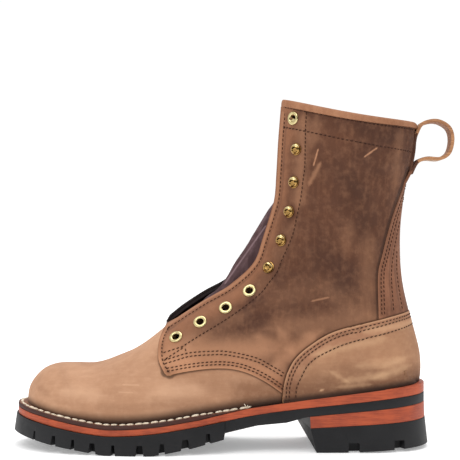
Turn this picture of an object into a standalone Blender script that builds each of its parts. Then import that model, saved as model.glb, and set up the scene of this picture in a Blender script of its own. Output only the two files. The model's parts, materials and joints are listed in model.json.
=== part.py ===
"""Lace-up work boot for the left foot, built as its maker puts it together.

The toe points along -X and the heel along +X, the outer side of the foot faces -Y, and the
boot stands on z = 0. Sizes and tables are in millimetres; meshes are written in metres.
"""
import math
from collections import namedtuple

import bmesh
import bpy
import numpy as np
from mathutils import Matrix, Vector
from mathutils.bvhtree import BVHTree

MM = 0.001

# Driving dimensions
JOIN = 0.3              # space left between pieces that meet
CENTRE_X = 2.9          # middle of the boot's box in the last's own frame
CENTRE_Y = 0.8
WALL = 2.2              # vamp leather and lining
QUARTER_TOP = 1.9       # outer face of the quarters above the wall
BACKSTAY_TOP = 2.3
COUNTER_TOP = 2.9
BINDING_IN = 0.9        # collar binding, past the wall's inner face
BINDING_OUT = 2.6       # collar binding, above the wall's outer face
BINDING_ROW = 22.76     # section where the binding starts
RIM_ROW = 22.74         # section where the wall and quarters end
MEDIAL_GAP = 0.65       # inner throat edge lies nearer the middle than the outer one
WELT_THICK = 3.0
WELT_WIDE = 12.0
MIDSOLE_DROP = 7.7      # underside of the midsole below the seam line
WELT_END_X = 6.0
INSOLE_THICK = 3.5
INSOLE_CLEAR = 1.7      # space round the insole board
TONGUE_THICK = 2.0
TONGUE_HALF = 27.0
TONGUE_CLEAR = 1.9      # space under the wall
LOOP_WIDE = 18.0
LOOP_THICK = 2.0
TOE_RISE = 0.27         # slope of the sole under the toe tip
LUG_HIGH = 6.0
LUG_INSET = 14.0        # side lugs reach this far in from the edge
NOTCH_TAPER = 0.7       # notches narrow inwards by this share
CUT_BELOW = 6.0         # cutters start this far under the tread
GROOVE_HALF = 2.0       # half the width of a groove between middle bars
CHANNEL_WIDE = 4.5
LUG_STEP_X = -4.0       # rear wall of the forefoot tread
STEP_HALF = 0.2
EYELET_HOLE = 2.4
EYELET_BARREL = 3.0
EYELET_FLANGE = 5.0
EYELET_DEEP = 3.2
HOLE_REACH = (-7.0, 4.0)   # eyelet hole, below and above the leather's face
ROUND_SIDES = 10
SEAT_RAYS = 8           # places round a seat that its height is read at
RAY_START = 12.0

# The last: one row for each section from the toe tip to the collar. A section runs from its
# base point on the seam line, then up the back seam, to its edge point on the top line, then
# up the throat. swing moves its middle towards the inner side, gap is half the throat opening,
# wide the half-width at the share belly of its height, foot the half-width at the seam line,
# and shelf how far the sole's edge stands outside the seam line.
Section = namedtuple("Section", "base_x base_z edge_x edge_z swing gap wide foot belly shelf")
LAST = (
    Section(-151.0, 29.8, -151.0, 36.5, 8.0, 0.0, 0.0, 0.0, 0.35, 7.5),
    Section(-149.6, 29.4, -149.8, 43.5, 7.5, 0.0, 13.0, 11.5, 0.35, 7.2),
    Section(-145.4, 28.4, -146.0, 50.5, 7.0, 0.0, 23.4, 21.6, 0.35, 6.6),
    Section(-138.4, 26.9, -138.8, 57.6, 6.2, 0.0, 32.0, 30.2, 0.33, 6.2),
    Section(-128.6, 25.0, -129.0, 61.4, 5.2, 0.0, 39.2, 37.5, 0.32, 5.9),
    Section(-116.0, 23.0, -116.0, 62.0, 4.2, 0.0, 44.2, 42.8, 0.32, 5.7),
    Section(-100.0, 21.5, -100.0, 61.9, 3.2, 0.0, 47.5, 46.2, 0.30, 5.5),
    Section(-84.0, 21.0, -84.0, 67.0, 2.0, 0.0, 49.0, 48.0, 0.30, 5.5),
    Section(-66.0, 21.9, -66.5, 75.0, 0.2, 0.0, 49.0, 48.2, 0.30, 5.5),
    Section(-46.0, 24.1, -48.5, 88.6, -2.0, 0.0, 46.8, 46.0, 0.31, 5.2),
    Section(-18.0, 28.1, -33.1, 99.6, -3.7, 7.0, 41.0, 39.2, 0.33, 4.0),
    Section(14.0, 32.2, -17.1, 109.8, -3.7, 10.0, 37.3, 33.7, 0.36, 3.2),
    Section(48.0, 36.8, -1.1, 118.2, -2.7, 12.0, 36.5, 32.2, 0.39, 3.4),
    Section(84.0, 41.5, 11.0, 127.6, -1.0, 13.0, 36.8, 33.5, 0.40, 4.2),
    Section(114.0, 45.4, 18.5, 136.0, -0.2, 14.0, 36.8, 32.2, 0.39, 5.0),
    Section(132.0, 47.2, 22.2, 143.5, 0.0, 14.0, 36.5, 21.0, 0.38, 6.0),
    Section(138.7, 47.4, 24.0, 149.5, 0.0, 14.0, 36.5, 0.0, 0.37, 6.5),
    Section(139.6, 67.0, 25.7, 155.0, 0.0, 14.0, 36.5, 0.0, 0.38, 0.0),
    Section(133.4, 93.3, 28.2, 162.5, 0.0, 14.0, 36.5, 0.0, 0.41, 0.0),
    Section(126.6, 125.0, 31.7, 173.6, 0.0, 14.5, 37.0, 0.0, 0.45, 0.0),
    Section(125.4, 160.0, 34.7, 185.8, 0.0, 15.0, 38.0, 0.0, 0.48, 0.0),
    Section(129.4, 193.0, 36.1, 205.0, 0.0, 15.0, 40.5, 0.0, 0.50, 0.0),
    Section(135.0, 217.0, 37.4, 228.0, 0.0, 15.5, 43.0, 0.0, 0.50, 0.0),
    Section(137.4, 240.8, 39.8, 257.6, 0.0, 16.0, 45.0, 0.0, 0.50, 0.0),
)
LAST_ROWS = np.array(LAST)
HEEL_ROW = 16           # section at the back end of the seam line
TOP_ROW = len(LAST) - 1
WALL_TOE_ROW = 4        # walls have twice the rows before this one
WALL_HEEL_ROWS = (13, 18)
SOLE_TOE_ROW = 1.5      # and the sole before and behind these
SOLE_HEEL_ROW = 15
LOW_STEPS = 4
HIGH_STEPS = 4

# Underside of the rubber tread, flat on the ground between the third and fourth points
TREAD_X = (-162.0, -128.0, -90.0, -56.0, -28.0, LUG_STEP_X - STEP_HALF)
TREAD_Z = (11.8, 5.6, 0.0, 0.0, 4.6, 10.4)
# Underside of the waist and of the rubber layer over the heel
WAIST_X = (LUG_STEP_X + STEP_HALF, 20.0, 41.0, 57.0, 146.0)
WAIST_Z = (14.6, 19.6, 21.4, 25.7, 34.2)
# Underside of the leather heel stack
STACK_X = (58.0, 146.0)
STACK_Z = (16.3, 20.4)
HEEL_BREAST = {"lateral": 58.5, "medial": 50.0}
HEEL_SLANT = 4.4        # rubber breast leans back by this much at the ground
HEEL_SHARES = (0, 0.2, 0.4, 0.55, 0.68, 0.78, 0.86, 0.92, 0.97, 1)
HEEL_FLARE = 2.6
TREAD_FLARE = 3.0
TREAD_FLARE_TOP = 1.3

# Lug notches along the tread: place on the seam line and width
NOTCHES = tuple((-148.0 + 16.4 * i, 5.5 if i % 2 else 3.2) for i in range(9))
CENTRE_GROOVES = tuple(-134.0 + 16.4 * i for i in range(7))
HEEL_NOTCHES = ((90.0, 6.5, 6.0), (125.0, 7.0, 8.0))     # place, width, height

# Seam curves in the side view, x and z
COUNTER_EDGE = ((38.1, 30.0), (38.7, 48.0), (41.0, 57.3), (46.8, 67.7), (57.2, 76.9),
                (72.7, 86.1), (91.2, 91.7), (115.3, 97.2), (150.0, 101.0))
BACKSTAY_EDGE = ((108.0, 98.0), (107.1, 103.2), (106.8, 127.6), (109.7, 141.5),
                 (117.5, 169.6), (136.8, 206.7), (150.0, 216.0))
QUARTER_FRONT = ((-47.4, 96.0), (-48.2, 89.0), (-49.7, 78.1), (-50.6, 65.7), (-45.5, 54.8))
QUARTER_LOWER = ((-45.5, 54.8), (-30.2, 58.6), (-13.6, 61.1), (1.3, 60.7), (13.7, 57.4),
                 (26.2, 51.1), (37.4, 43.3))

# Eyelets and hooks down one eyestay, x and z in the side view
EYELETS = ((-39.6, 83.2), (-22.0, 94.3), (-3.4, 104.6), (14.0, 117.1), (46.7, 242.3))
HOOKS = ((27.9, 133.4), (36.3, 153.8), (42.9, 174.5), (46.2, 195.9), (47.4, 219.2))

# How far the tongue's fold stands out of the throat, by section
TONGUE_ROWS = (8.7, 11.0, 12.0, 13.0, 14.0, 16.0, 17.0, 18.0, 19.0, 20.0, 22.5)
TONGUE_FOLD = (0.0, 0.5, 7.0, 11.0, 12.0, 11.0, 9.0, 6.5, 4.0, 1.0, 0.0)

# Pull loop in the side view: the free bight, then the strip that lies on the back seam
LOOP_BIGHT = ((139.6, 233.5), (144.0, 240.5), (154.5, 242.7), (163.5, 238.0), (166.3, 229.5),
              (164.0, 219.0), (157.0, 214.4), (147.0, 214.6), (138.6, 211.4))
LOOP_STRIP_LIFT = 3.2
LOOP_STRIP_Z = (214.5, 222.0, 229.5)

Finish = namedtuple("Finish", "color roughness metallic")
VAMP_LEATHER = Finish((0.36, 0.20, 0.115), 0.75, 0.0)
QUARTER_LEATHER = Finish((0.25, 0.125, 0.075), 0.7, 0.0)
TONGUE_LEATHER = Finish((0.07, 0.035, 0.035), 0.7, 0.0)
SOLE_LEATHER = Finish((0.50, 0.12, 0.055), 0.55, 0.0)
WELT_LEATHER = Finish((0.20, 0.07, 0.045), 0.6, 0.0)
BLACK_RUBBER = Finish((0.015, 0.015, 0.016), 0.6, 0.0)
INSOLE_LEATHER = Finish((0.45, 0.30, 0.19), 0.8, 0.0)
BRASS = Finish((0.75, 0.52, 0.20), 0.25, 1.0)

SIDES = {"lateral": -1, "medial": 1}


def smooth_row(rows, place):
    """Row at a fractional place on a smooth curve through equally spaced rows."""
    first = min(int(place), len(rows) - 2)
    step = place - first
    before = rows[max(first - 1, 0)]
    start = rows[first]
    end = rows[first + 1]
    after = rows[min(first + 2, len(rows) - 1)]
    slope_in = (end - before) / 2
    slope_out = (after - start) / 2
    square = step * step
    cube = square * step
    return (start * (2 * cube - 3 * square + 1) + slope_in * (cube - 2 * square + step)
            + end * (3 * square - 2 * cube) + slope_out * (cube - square))


def smooth_curve(points, steps=4):
    """Points along a smooth curve, a few for each span."""
    rows = np.array(points, dtype=float)
    return [smooth_row(rows, i / steps) for i in range((len(points) - 1) * steps + 1)]


def section(place):
    """Section of the last at a fractional row, with its base and full-height top points."""
    row = Section(*smooth_row(LAST_ROWS, place))
    gap = max(row.gap, 0.0)
    wide = max(row.wide, 0.0)
    cut = math.sqrt(1 - (gap / wide) ** 2) if wide > gap else 1.0
    edge_height = row.belly + (1 - row.belly) * cut
    base = np.array((row.base_x, row.base_z + JOIN))
    top = base + (np.array((row.edge_x, row.edge_z)) - base) / edge_height
    return row._replace(gap=gap, wide=wide, foot=min(max(row.foot, 0.0), wide)), base, top


def edge_angle(place, side):
    """Profile angle in degrees where the throat cuts the section."""
    row = section(place)[0]
    gap = row.gap if side == "lateral" else row.gap * MEDIAL_GAP
    return math.degrees(math.acos(gap / row.wide)) if row.wide > gap else 90.0


def last_point(place, angle, side):
    """Point of the last: angle -90 at the base, 0 at the widest place and 90 at the crest."""
    row, base, top = section(place)
    turn = math.radians(abs(angle))
    if angle < 0:
        height = row.belly * (1 - math.sin(turn))
        roundness = 2 / (2 - row.foot / row.wide) if row.wide else 1.0
        width = row.foot + (row.wide - row.foot) * max(math.cos(turn), 0.0) ** roundness
    else:
        height = row.belly + (1 - row.belly) * math.sin(turn)
        width = row.wide * max(math.cos(turn), 0.0)
    width = round(width, 6)
    x, z = base + height * (top - base)
    return np.array((x, row.swing + SIDES[side] * width, z)), width


def last_normal(place, angle, side):
    """Outward direction of the last's surface."""
    along = (last_point(min(place + 0.04, TOP_ROW), angle, side)[0]
             - last_point(max(place - 0.04, 0), angle, side)[0])
    up = (last_point(place, min(angle + 4, 90), side)[0]
          - last_point(place, max(angle - 4, -90), side)[0])
    normal = np.cross(along, up) * -SIDES[side]
    if last_point(place, angle, side)[1] < 1e-4:
        normal[1] = 0.0
    return normal / np.linalg.norm(normal)


def skin(place, angle, side, lift):
    """Point that stands off the last by lift."""
    return last_point(place, angle, side)[0] + last_normal(place, angle, side) * lift


def profile_angles(place, side):
    """Angles of a section's points, from its base to its throat edge."""
    edge = edge_angle(place, side)
    low = [-90 + 90 * i / LOW_STEPS for i in range(LOW_STEPS)]
    return low + [edge * i / HIGH_STEPS for i in range(HIGH_STEPS + 1)]


def locate(x, z):
    """Section and angle of a place in the side view."""
    def off_line(place):
        _, base, top = section(place)
        run = top - base
        return run[0] * (z - base[1]) - run[1] * (x - base[0])

    low = 0.0
    high = float(TOP_ROW)
    for _ in range(40):
        middle = (low + high) / 2
        if off_line(middle) > 0:
            high = middle
        else:
            low = middle
    row, base, top = section(low)
    run = top - base
    height = float(np.dot(np.array((x, z)) - base, run) / np.dot(run, run))
    if height < row.belly:
        return low, -math.degrees(math.asin(1 - height / row.belly))
    return low, math.degrees(math.asin(min((height - row.belly) / (1 - row.belly), 1.0)))


SEAM_PLACES = np.linspace(0, HEEL_ROW, 321)
SEAM_LINE = np.array([smooth_row(LAST_ROWS, place)[:2] for place in SEAM_PLACES])


def seam_z(x):
    """Height of the seam line between upper and sole, carried on past the toe at its slope."""
    rise = max(LAST[0].base_x - x, 0.0) * TOE_RISE
    return float(np.interp(x, SEAM_LINE[:, 0], SEAM_LINE[:, 1])) + rise


def seam_place(x):
    """Section whose base lies at x on the seam line."""
    return float(np.interp(x, SEAM_LINE[:, 0], SEAM_PLACES))


def plan_edge(place, side, grow):
    """Point on the sole's edge in plan, moved out by grow, and its outward direction."""
    def seam(at):
        row = section(at)[0]
        return np.array((row.base_x, row.swing + SIDES[side] * row.foot))

    run = seam(min(place + 0.05, HEEL_ROW)) - seam(max(place - 0.05, 0))
    out = np.array((run[1], -run[0])) * -SIDES[side]
    if place <= 0:
        out = np.array((-1.0, 0.0))
    if place >= HEEL_ROW:
        out = np.array((1.0, 0.0))
    out = out / np.linalg.norm(out)
    return seam(place) + out * (section(place)[0].shelf + grow), out


def tread_z(x):
    """Underside of the forefoot tread."""
    return float(np.interp(x, TREAD_X, TREAD_Z))


def waist_z(x):
    """Underside of the outsole behind the tread."""
    return float(np.interp(x, WAIST_X, WAIST_Z))


def finish(piece, look):
    """Give a piece its own material."""
    material = bpy.data.materials.new(piece.name)
    material.use_nodes = True
    shader = material.node_tree.nodes["Principled BSDF"]
    shader.inputs["Base Color"].default_value = (*look.color, 1)
    shader.inputs["Roughness"].default_value = look.roughness
    shader.inputs["Metallic"].default_value = look.metallic
    material.diffuse_color = (*look.color, 1)
    piece.data.materials.append(material)


def mesh_object(name, points, faces, look=None):
    """Mesh from points in the last's frame; without a look it is a hidden cutter."""
    shift = np.array((CENTRE_X, CENTRE_Y, 0))
    mesh = bpy.data.meshes.new(name)
    mesh.from_pydata([tuple((np.array(p) - shift) * MM) for p in points], [], faces)
    work = bmesh.new()
    work.from_mesh(mesh)
    bmesh.ops.recalc_face_normals(work, faces=work.faces)
    work.to_mesh(mesh)
    work.free()
    piece = bpy.data.objects.new(name, mesh)
    bpy.context.scene.collection.objects.link(piece)
    if look is None:
        piece.hide_render = True
        piece.display_type = "WIRE"
    else:
        mesh.shade_smooth()
        mesh.set_sharp_from_angle(angle=math.radians(40))
        finish(piece, look)
    return piece


def boolean(piece, operation, tool):
    """Cut a piece with a hidden tool."""
    cut = piece.modifiers.new(operation.lower(), "BOOLEAN")
    cut.operation = operation
    cut.object = tool


def stations(first, last, step=0.5):
    """Even rows from the first to the last, both included."""
    inner = [i * step for i in range(int(first / step) + 1, math.ceil(last / step))]
    return [first] + inner + [last]


def wall_rows(first, last):
    """Rows of the upper's walls, closer together round the toe and the heel."""
    return [place for place in stations(first, last)
            if place in (first, last) or place == int(place) or place < WALL_TOE_ROW
            or WALL_HEEL_ROWS[0] < place < WALL_HEEL_ROWS[1]]


def shell(name, rows, sides, inner, outer, look):
    """Closed wall over the given rows of the last between two distances from it."""
    index = {}
    outside = []
    inside = []
    faces = []

    def corner(place, angle, side):
        key = tuple(np.round(last_point(place, angle, side)[0], 3))
        if key not in index:
            index[key] = len(outside)
            outside.append(skin(place, angle, side, outer))
            inside.append(skin(place, angle, side, inner))
        return index[key]

    for side in sides:
        grid = [[corner(place, angle, side) for angle in profile_angles(place, side)] for place in rows]
        for near, far in zip(grid, grid[1:]):
            for i in range(len(near) - 1):
                halves = ((near[i], far[i], near[i + 1]), (far[i], far[i + 1], near[i + 1]))
                faces += [half if side == "lateral" else half[::-1] for half in halves]
    return mesh_object(name, outside + inside, closed_wall(faces, len(outside)), look)


def closed_wall(faces, count):
    """Faces of a wall: the sheet, its copy count points on, and the rim between them."""
    edges = {(a, b) for face in faces for a, b in zip(face, face[1:] + face[:1])}
    rim = [(b, a, a + count, b + count) for a, b in edges if (b, a) not in edges]
    return faces + [tuple(i + count for i in reversed(face)) for face in faces] + sorted(rim)


def prism(name, outline, low=-80.0, high=80.0):
    """Hidden cutter: a side-view outline drawn out across the boot."""
    count = len(outline)
    points = [(x, low, z) for x, z in outline] + [(x, high, z) for x, z in outline]
    faces = [tuple(range(count)), tuple(range(2 * count - 1, count - 1, -1))]
    faces += [(i, (i + 1) % count, (i + 1) % count + count, i + count) for i in range(count)]
    return mesh_object(name, points, faces)


def bar(name, corners, look=None):
    """Closed bar through rows of four corners: two bottom and two top ones, side by side."""
    index = {}
    points = []

    def number(point):
        key = tuple(np.round(point, 3))
        if key not in index:
            index[key] = len(points)
            points.append(point)
        return index[key]

    rows = [[number(point) for point in row] for row in corners]
    faces = []
    for near, far in zip(rows, rows[1:]):
        for i in range(4):
            quad = (near[i], near[(i + 1) % 4], far[(i + 1) % 4], far[i])
            faces.append(tuple(dict.fromkeys(quad)))
    faces += [tuple(dict.fromkeys(row)) for row in (rows[0], rows[-1])]
    return mesh_object(name, points, [face for face in faces if len(face) > 2], look)


def plate_row(places, grow_low, grow_high, low_z, high_z):
    """Four corners across the sole at a pair of places, outer side first."""
    row = []
    for side, grow, height in (("lateral", grow_low, low_z), ("medial", grow_low, low_z),
                               ("medial", grow_high, high_z), ("lateral", grow_high, high_z)):
        x, y = plan_edge(places[side], side, grow)[0]
        row.append((x, y, height(x)))
    return row


def both(place):
    """The same place on both sides."""
    return {side: place for side in SIDES}


def sole_rows(first, last):
    """Rows of the sole, closer together round the toe and the heel."""
    rows = set(stations(first, last))
    rows |= {place for place in stations(first, last, 0.25) if place < SOLE_TOE_ROW or place > SOLE_HEEL_ROW}
    return sorted(rows)


def make_outsole():
    """Rubber outsole with its toe spring, side lugs, rear step and thin waist."""
    bends = [seam_place(x) for x in TREAD_X[1:] + WAIST_X[:-1]]
    tread_end = seam_place(TREAD_X[-1])
    corners = []
    for place in sorted(set(sole_rows(0, HEEL_ROW) + bends)):
        flare, floor = ((TREAD_FLARE, TREAD_FLARE_TOP), tread_z) if place <= tread_end else ((0, 0), waist_z)
        corners.append(plate_row(both(place), *flare, floor, lambda x: seam_z(x) - MIDSOLE_DROP - JOIN))
    outsole = bar("outsole", corners, BLACK_RUBBER)
    boolean(outsole, "DIFFERENCE", lug_notches())
    boolean(outsole, "DIFFERENCE", lug_channel())
    boolean(outsole, "DIFFERENCE", centre_grooves())


def notch_box(place, side, width, reach, low, high):
    """Eight corners of a notch cut square into the sole's edge."""
    spot, out = plan_edge(place, side, 0.0)
    along = np.array((-out[1], out[0])) * width / 2
    inner = spot - out * reach
    outer = spot + out * LUG_INSET
    tip = along * NOTCH_TAPER
    plan = (inner - tip, inner + tip, outer + along, outer - along)
    return [(x, y, z) for z in (low, high) for x, y in plan]


BOX_FACES = ((0, 1, 2, 3), (7, 6, 5, 4), (0, 4, 5, 1), (1, 5, 6, 2), (2, 6, 7, 3), (3, 7, 4, 0))


def boxes(name, corner_sets):
    """Hidden cutter of separate boxes."""
    points = [point for corners in corner_sets for point in corners]
    faces = [tuple(8 * i + k for k in face) for i in range(len(corner_sets)) for face in BOX_FACES]
    return mesh_object(name, points, faces)


def lug_notches():
    """Notches between the side lugs of the tread."""
    sets = []
    for x, width in NOTCHES:
        floor = tread_z(x)
        for side in SIDES:
            sets.append(notch_box(seam_place(x), side, width, LUG_INSET, floor - CUT_BELOW, floor + LUG_HIGH))
    return boxes("lug_notches", sets)


def lug_channel():
    """Channel round the tread that parts the side lugs from the middle bars."""
    ends = seam_place(-16.0)
    path = [("lateral", place) for place in reversed(stations(1.0, ends, 0.5))]
    path += [("medial", place) for place in stations(1.0, ends, 0.5)]
    corners = []
    for side, place in path:
        spot, out = plan_edge(place, side, -LUG_INSET)
        inner = spot - out * CHANNEL_WIDE
        floor = tread_z(spot[0])
        low = floor - CUT_BELOW
        high = floor + LUG_HIGH - 1
        corners.append([(*spot, low), (*inner, low), (*inner, high), (*spot, high)])
    return bar("lug_channel", corners)


def centre_grooves():
    """Grooves between the middle bars of the tread."""
    sets = []
    for x in CENTRE_GROOVES:
        place = seam_place(x)
        floor = tread_z(x)
        edges = [plan_edge(place, side, -LUG_INSET - CHANNEL_WIDE / 2)[0][1] for side in SIDES]
        near = x - GROOVE_HALF
        far = x + GROOVE_HALF
        plan = [(near, edges[0]), (far, edges[0]), (far, edges[1]), (near, edges[1])]
        sets.append([(px, py, z) for z in (floor - CUT_BELOW, floor + LUG_HIGH - 2) for px, py in plan])
    return boxes("centre_grooves", sets)


def make_midsole():
    """Leather slip sole, stepped down by the welt's thickness in front of the waist."""
    step = [seam_place(WELT_END_X - STEP_HALF), seam_place(WELT_END_X + STEP_HALF)]
    corners = []
    for place in sorted(set(sole_rows(0, HEEL_ROW) + step)):
        drop = WELT_THICK + JOIN if place <= step[0] else 0.0
        corners.append(plate_row(both(place), 0.0, 0.0, lambda x: seam_z(x) - MIDSOLE_DROP,
                                 lambda x, drop=drop: seam_z(x) - drop))
    bar("midsole", corners, SOLE_LEATHER)


def make_welt():
    """Leather strip from the outer waist round the toe to the inner waist."""
    end = seam_place(WELT_END_X - 1.0)
    path = [("lateral", place) for place in reversed(sole_rows(0, end))]
    path += [("medial", place) for place in sole_rows(0, end)[1:]]
    corners = []
    for side, place in path:
        outer, out = plan_edge(place, side, 0.0)
        inner = outer - out * WELT_WIDE
        heights = [seam_z(x) - drop for x, drop in ((outer[0], WELT_THICK), (inner[0], WELT_THICK),
                                                    (inner[0], 0.0), (outer[0], 0.0))]
        corners.append([(*spot, z) for spot, z in zip((outer, inner, inner, outer), heights)])
    bar("welt", corners, WELT_LEATHER)


def heel_rows(slant):
    """Places round the heel from its breast to its back, leaning back by slant."""
    starts = {side: seam_place(x + slant) for side, x in HEEL_BREAST.items()}
    return [{side: start + (HEEL_ROW - start) * share for side, start in starts.items()}
            for share in HEEL_SHARES]


def stack_z(x):
    """Underside of the leather heel stack."""
    return float(np.interp(x, STACK_X, STACK_Z))


def make_heel():
    """Leather heel stack and its notched rubber lift."""
    stack = [plate_row(places, 0.3, 0.0, stack_z, lambda x: waist_z(x) - JOIN)
             for places in heel_rows(0.0)]
    bar("heel_stack", stack, SOLE_LEATHER)
    lift = []
    for high, low in zip(heel_rows(0.4), heel_rows(HEEL_SLANT)):
        top = plate_row(high, 0.6, 0.6, stack_z, lambda x: stack_z(x) - JOIN)[2:]
        lift.append(plate_row(low, HEEL_FLARE, HEEL_FLARE, lambda x: 0.0, stack_z)[:2] + top)
    rubber = bar("heel_lift", lift, BLACK_RUBBER)
    sets = [notch_box(seam_place(x), side, width, LUG_INSET, -CUT_BELOW, height)
            for x, width, height in HEEL_NOTCHES for side in SIDES]
    boolean(rubber, "DIFFERENCE", boxes("heel_notches", sets))


def make_insole():
    """Leather board inside the upper, on the seam line."""
    def corners_at(place):
        inset = -section(place)[0].shelf - WALL - INSOLE_CLEAR
        return plate_row(both(place), inset, inset, lambda x: seam_z(x) + JOIN,
                         lambda x: seam_z(x) + JOIN + INSOLE_THICK)

    bar("insole", [corners_at(place) for place in sole_rows(0, HEEL_ROW)], INSOLE_LEATHER)


def shifted(curve, dx, dz):
    """Curve moved in the side view."""
    return [(x + dx, z + dz) for x, z in curve]


def make_uppers():
    """Hollow upper wall with the overlays that lap it, each cut by its own seam curves."""
    rows = wall_rows(0, RIM_ROW)
    back_rows = wall_rows(11, RIM_ROW)
    counter_edge = smooth_curve(COUNTER_EDGE)
    backstay_edge = smooth_curve(BACKSTAY_EDGE)
    floor = [(x, seam_z(x) + JOIN) for x in range(-160, 161, 10)]
    upper = shell("upper", rows, SIDES, -WALL, 0.0, VAMP_LEATHER)

    counter = shell("counter", wall_rows(10, 20), SIDES, JOIN, COUNTER_TOP, VAMP_LEATHER)
    heel_floor = [point for point in floor if point[0] > COUNTER_EDGE[0][0]]
    start = (COUNTER_EDGE[0][0], seam_z(COUNTER_EDGE[0][0]) + JOIN)
    rise = [point for point in counter_edge if point[1] > start[1] + 1]
    boolean(counter, "INTERSECT", prism("counter_outline", [start] + heel_floor + rise[::-1]))

    backstay = shell("backstay", back_rows, SIDES, JOIN, BACKSTAY_TOP, QUARTER_LEATHER)
    lower = [point for point in shifted(counter_edge, 0, JOIN) if point[0] > BACKSTAY_EDGE[0][0]]
    stay_edge = [point for point in backstay_edge if point[1] > lower[0][1] + 1]
    corner = (BACKSTAY_EDGE[0][0], float(np.interp(BACKSTAY_EDGE[0][0], *zip(*counter_edge))) + JOIN)
    boolean(backstay, "INTERSECT", prism("backstay_outline", [corner] + lower + stay_edge[::-1]))

    front = smooth_curve(QUARTER_FRONT)
    low_edge = smooth_curve(QUARTER_LOWER)[1:]
    up_counter = [point for point in shifted(counter_edge, -JOIN, JOIN)
                  if point[1] > QUARTER_LOWER[-1][1] and point[0] < BACKSTAY_EDGE[0][0] - 1]
    up_stay = shifted(stay_edge, -JOIN, JOIN)
    around = [(150.0, 270.0), (20.0, 270.0), (-10.0, 180.0), (-40.0, 120.0)]
    outline = front + low_edge + up_counter + up_stay + around
    quarters = {}
    for side, (low, high) in {"lateral": (-80.0, -JOIN), "medial": (JOIN, 80.0)}.items():
        quarter = shell("quarter_" + side, wall_rows(8, RIM_ROW), [side], JOIN, QUARTER_TOP, QUARTER_LEATHER)
        boolean(quarter, "INTERSECT", prism("quarter_outline_" + side, outline, low, high))
        quarters[side] = quarter
    return upper, quarters


def make_binding():
    """Rolled binding round the collar, from one eyestay to the other."""
    shell("collar_binding", [BINDING_ROW, (BINDING_ROW + TOP_ROW) / 2, TOP_ROW], SIDES,
          -WALL - BINDING_IN, BINDING_OUT, QUARTER_LEATHER)


def make_tongue():
    """Gusset tongue under the throat, folded forward where the throat is widest."""
    across = 5
    places = stations(TONGUE_ROWS[0], TONGUE_ROWS[-1], 1.0)
    outside = []
    inside = []
    for place in places:
        row = section(place)[0]
        start = math.degrees(math.acos(TONGUE_HALF / row.wide))
        fold = float(np.interp(place, TONGUE_ROWS, TONGUE_FOLD))
        spread = [("lateral", i / across) for i in range(across + 1)]
        spread += [("medial", i / across) for i in range(across - 1, -1, -1)]
        for side, share in spread:
            angle = start + (90 - start) * share
            width = last_point(place, angle, side)[1]
            room = max(row.gap * (1 if side == "lateral" else MEDIAL_GAP) - 1.5, 0.1)
            rise = fold * (0.5 + 0.5 * math.cos(math.pi * min(width / room, 1)))
            outside.append(skin(place, angle, side, rise - WALL - TONGUE_CLEAR))
            inside.append(skin(place, angle, side, rise - WALL - TONGUE_CLEAR - TONGUE_THICK))
    count = 2 * across + 1
    faces = []
    for i in range(len(places) - 1):
        for j in range(count - 1):
            near = i * count + j
            faces.append((near, near + count, near + count + 1, near + 1))
    mesh_object("tongue", outside + inside, closed_wall(faces, len(outside)), TONGUE_LEATHER)


def back_seam(z, lift):
    """Place on the back seam at height z, standing off by lift."""
    heights = LAST_ROWS[HEEL_ROW:, 1]
    return float(np.interp(z, heights, LAST_ROWS[HEEL_ROW:, 0])) + lift


def make_pull_loop():
    """Leather finger loop: a free bight and a strip that lies on the back seam."""
    strip = [(back_seam(z, LOOP_STRIP_LIFT), z) for z in LOOP_STRIP_Z]
    ring = np.array(list(LOOP_BIGHT) + strip)
    steps = 2
    closed = np.concatenate((ring[-1:], ring, ring[:2]))
    line = [smooth_row(closed, 1 + i / steps) for i in range(len(ring) * steps)]
    corners = []
    for i, spot in enumerate(line):
        run = line[(i + 1) % len(line)] - line[i - 1]
        out = np.array((run[1], -run[0])) / np.linalg.norm(run) * LOOP_THICK / 2
        half = LOOP_WIDE / 2
        corners.append([(x, y, z) for (x, z), y in ((spot + out, -half), (spot + out, half),
                                                    (spot - out, half), (spot - out, -half))])
    points = [point for row in corners for point in row]
    count = len(corners)
    faces = []
    for i in range(count):
        for k in range(4):
            near = 4 * i
            far = 4 * ((i + 1) % count)
            faces.append((near + k, near + (k + 1) % 4, far + (k + 1) % 4, far + k))
    mesh_object("pull_loop", points, faces, QUARTER_LEATHER)


def seat_on(carrier, x, z, side):
    """Frame on a carrier's face under a side-view place: Z out of the leather, Y up the eyestay."""
    tree = BVHTree.FromObject(carrier, bpy.context.evaluated_depsgraph_get())
    place, angle = locate(x, z)
    shift = np.array((CENTRE_X, CENTRE_Y, 0))
    start = Vector((skin(place, angle, side, RAY_START) - shift) * MM)
    inward = Vector(-last_normal(place, angle, side))
    spot, normal, _, _ = tree.ray_cast(start, inward)
    up = Vector(skin(min(place + 0.2, TOP_ROW), angle, side, 0) - skin(place, angle, side, 0))
    across = up.cross(normal).normalized()
    upward = normal.cross(across)
    frame = Matrix((across, upward, normal)).transposed().to_4x4()
    heights = [0.0]
    for i in range(SEAT_RAYS):
        turn = 2 * math.pi * i / SEAT_RAYS
        rim = spot + (across * math.cos(turn) + upward * math.sin(turn)) * EYELET_FLANGE * MM
        hit = tree.ray_cast(rim + normal * RAY_START * MM, -normal)[0]
        if hit:
            heights.append((hit - spot).dot(normal))
    frame.translation = spot + normal * max(heights)
    return frame


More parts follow.
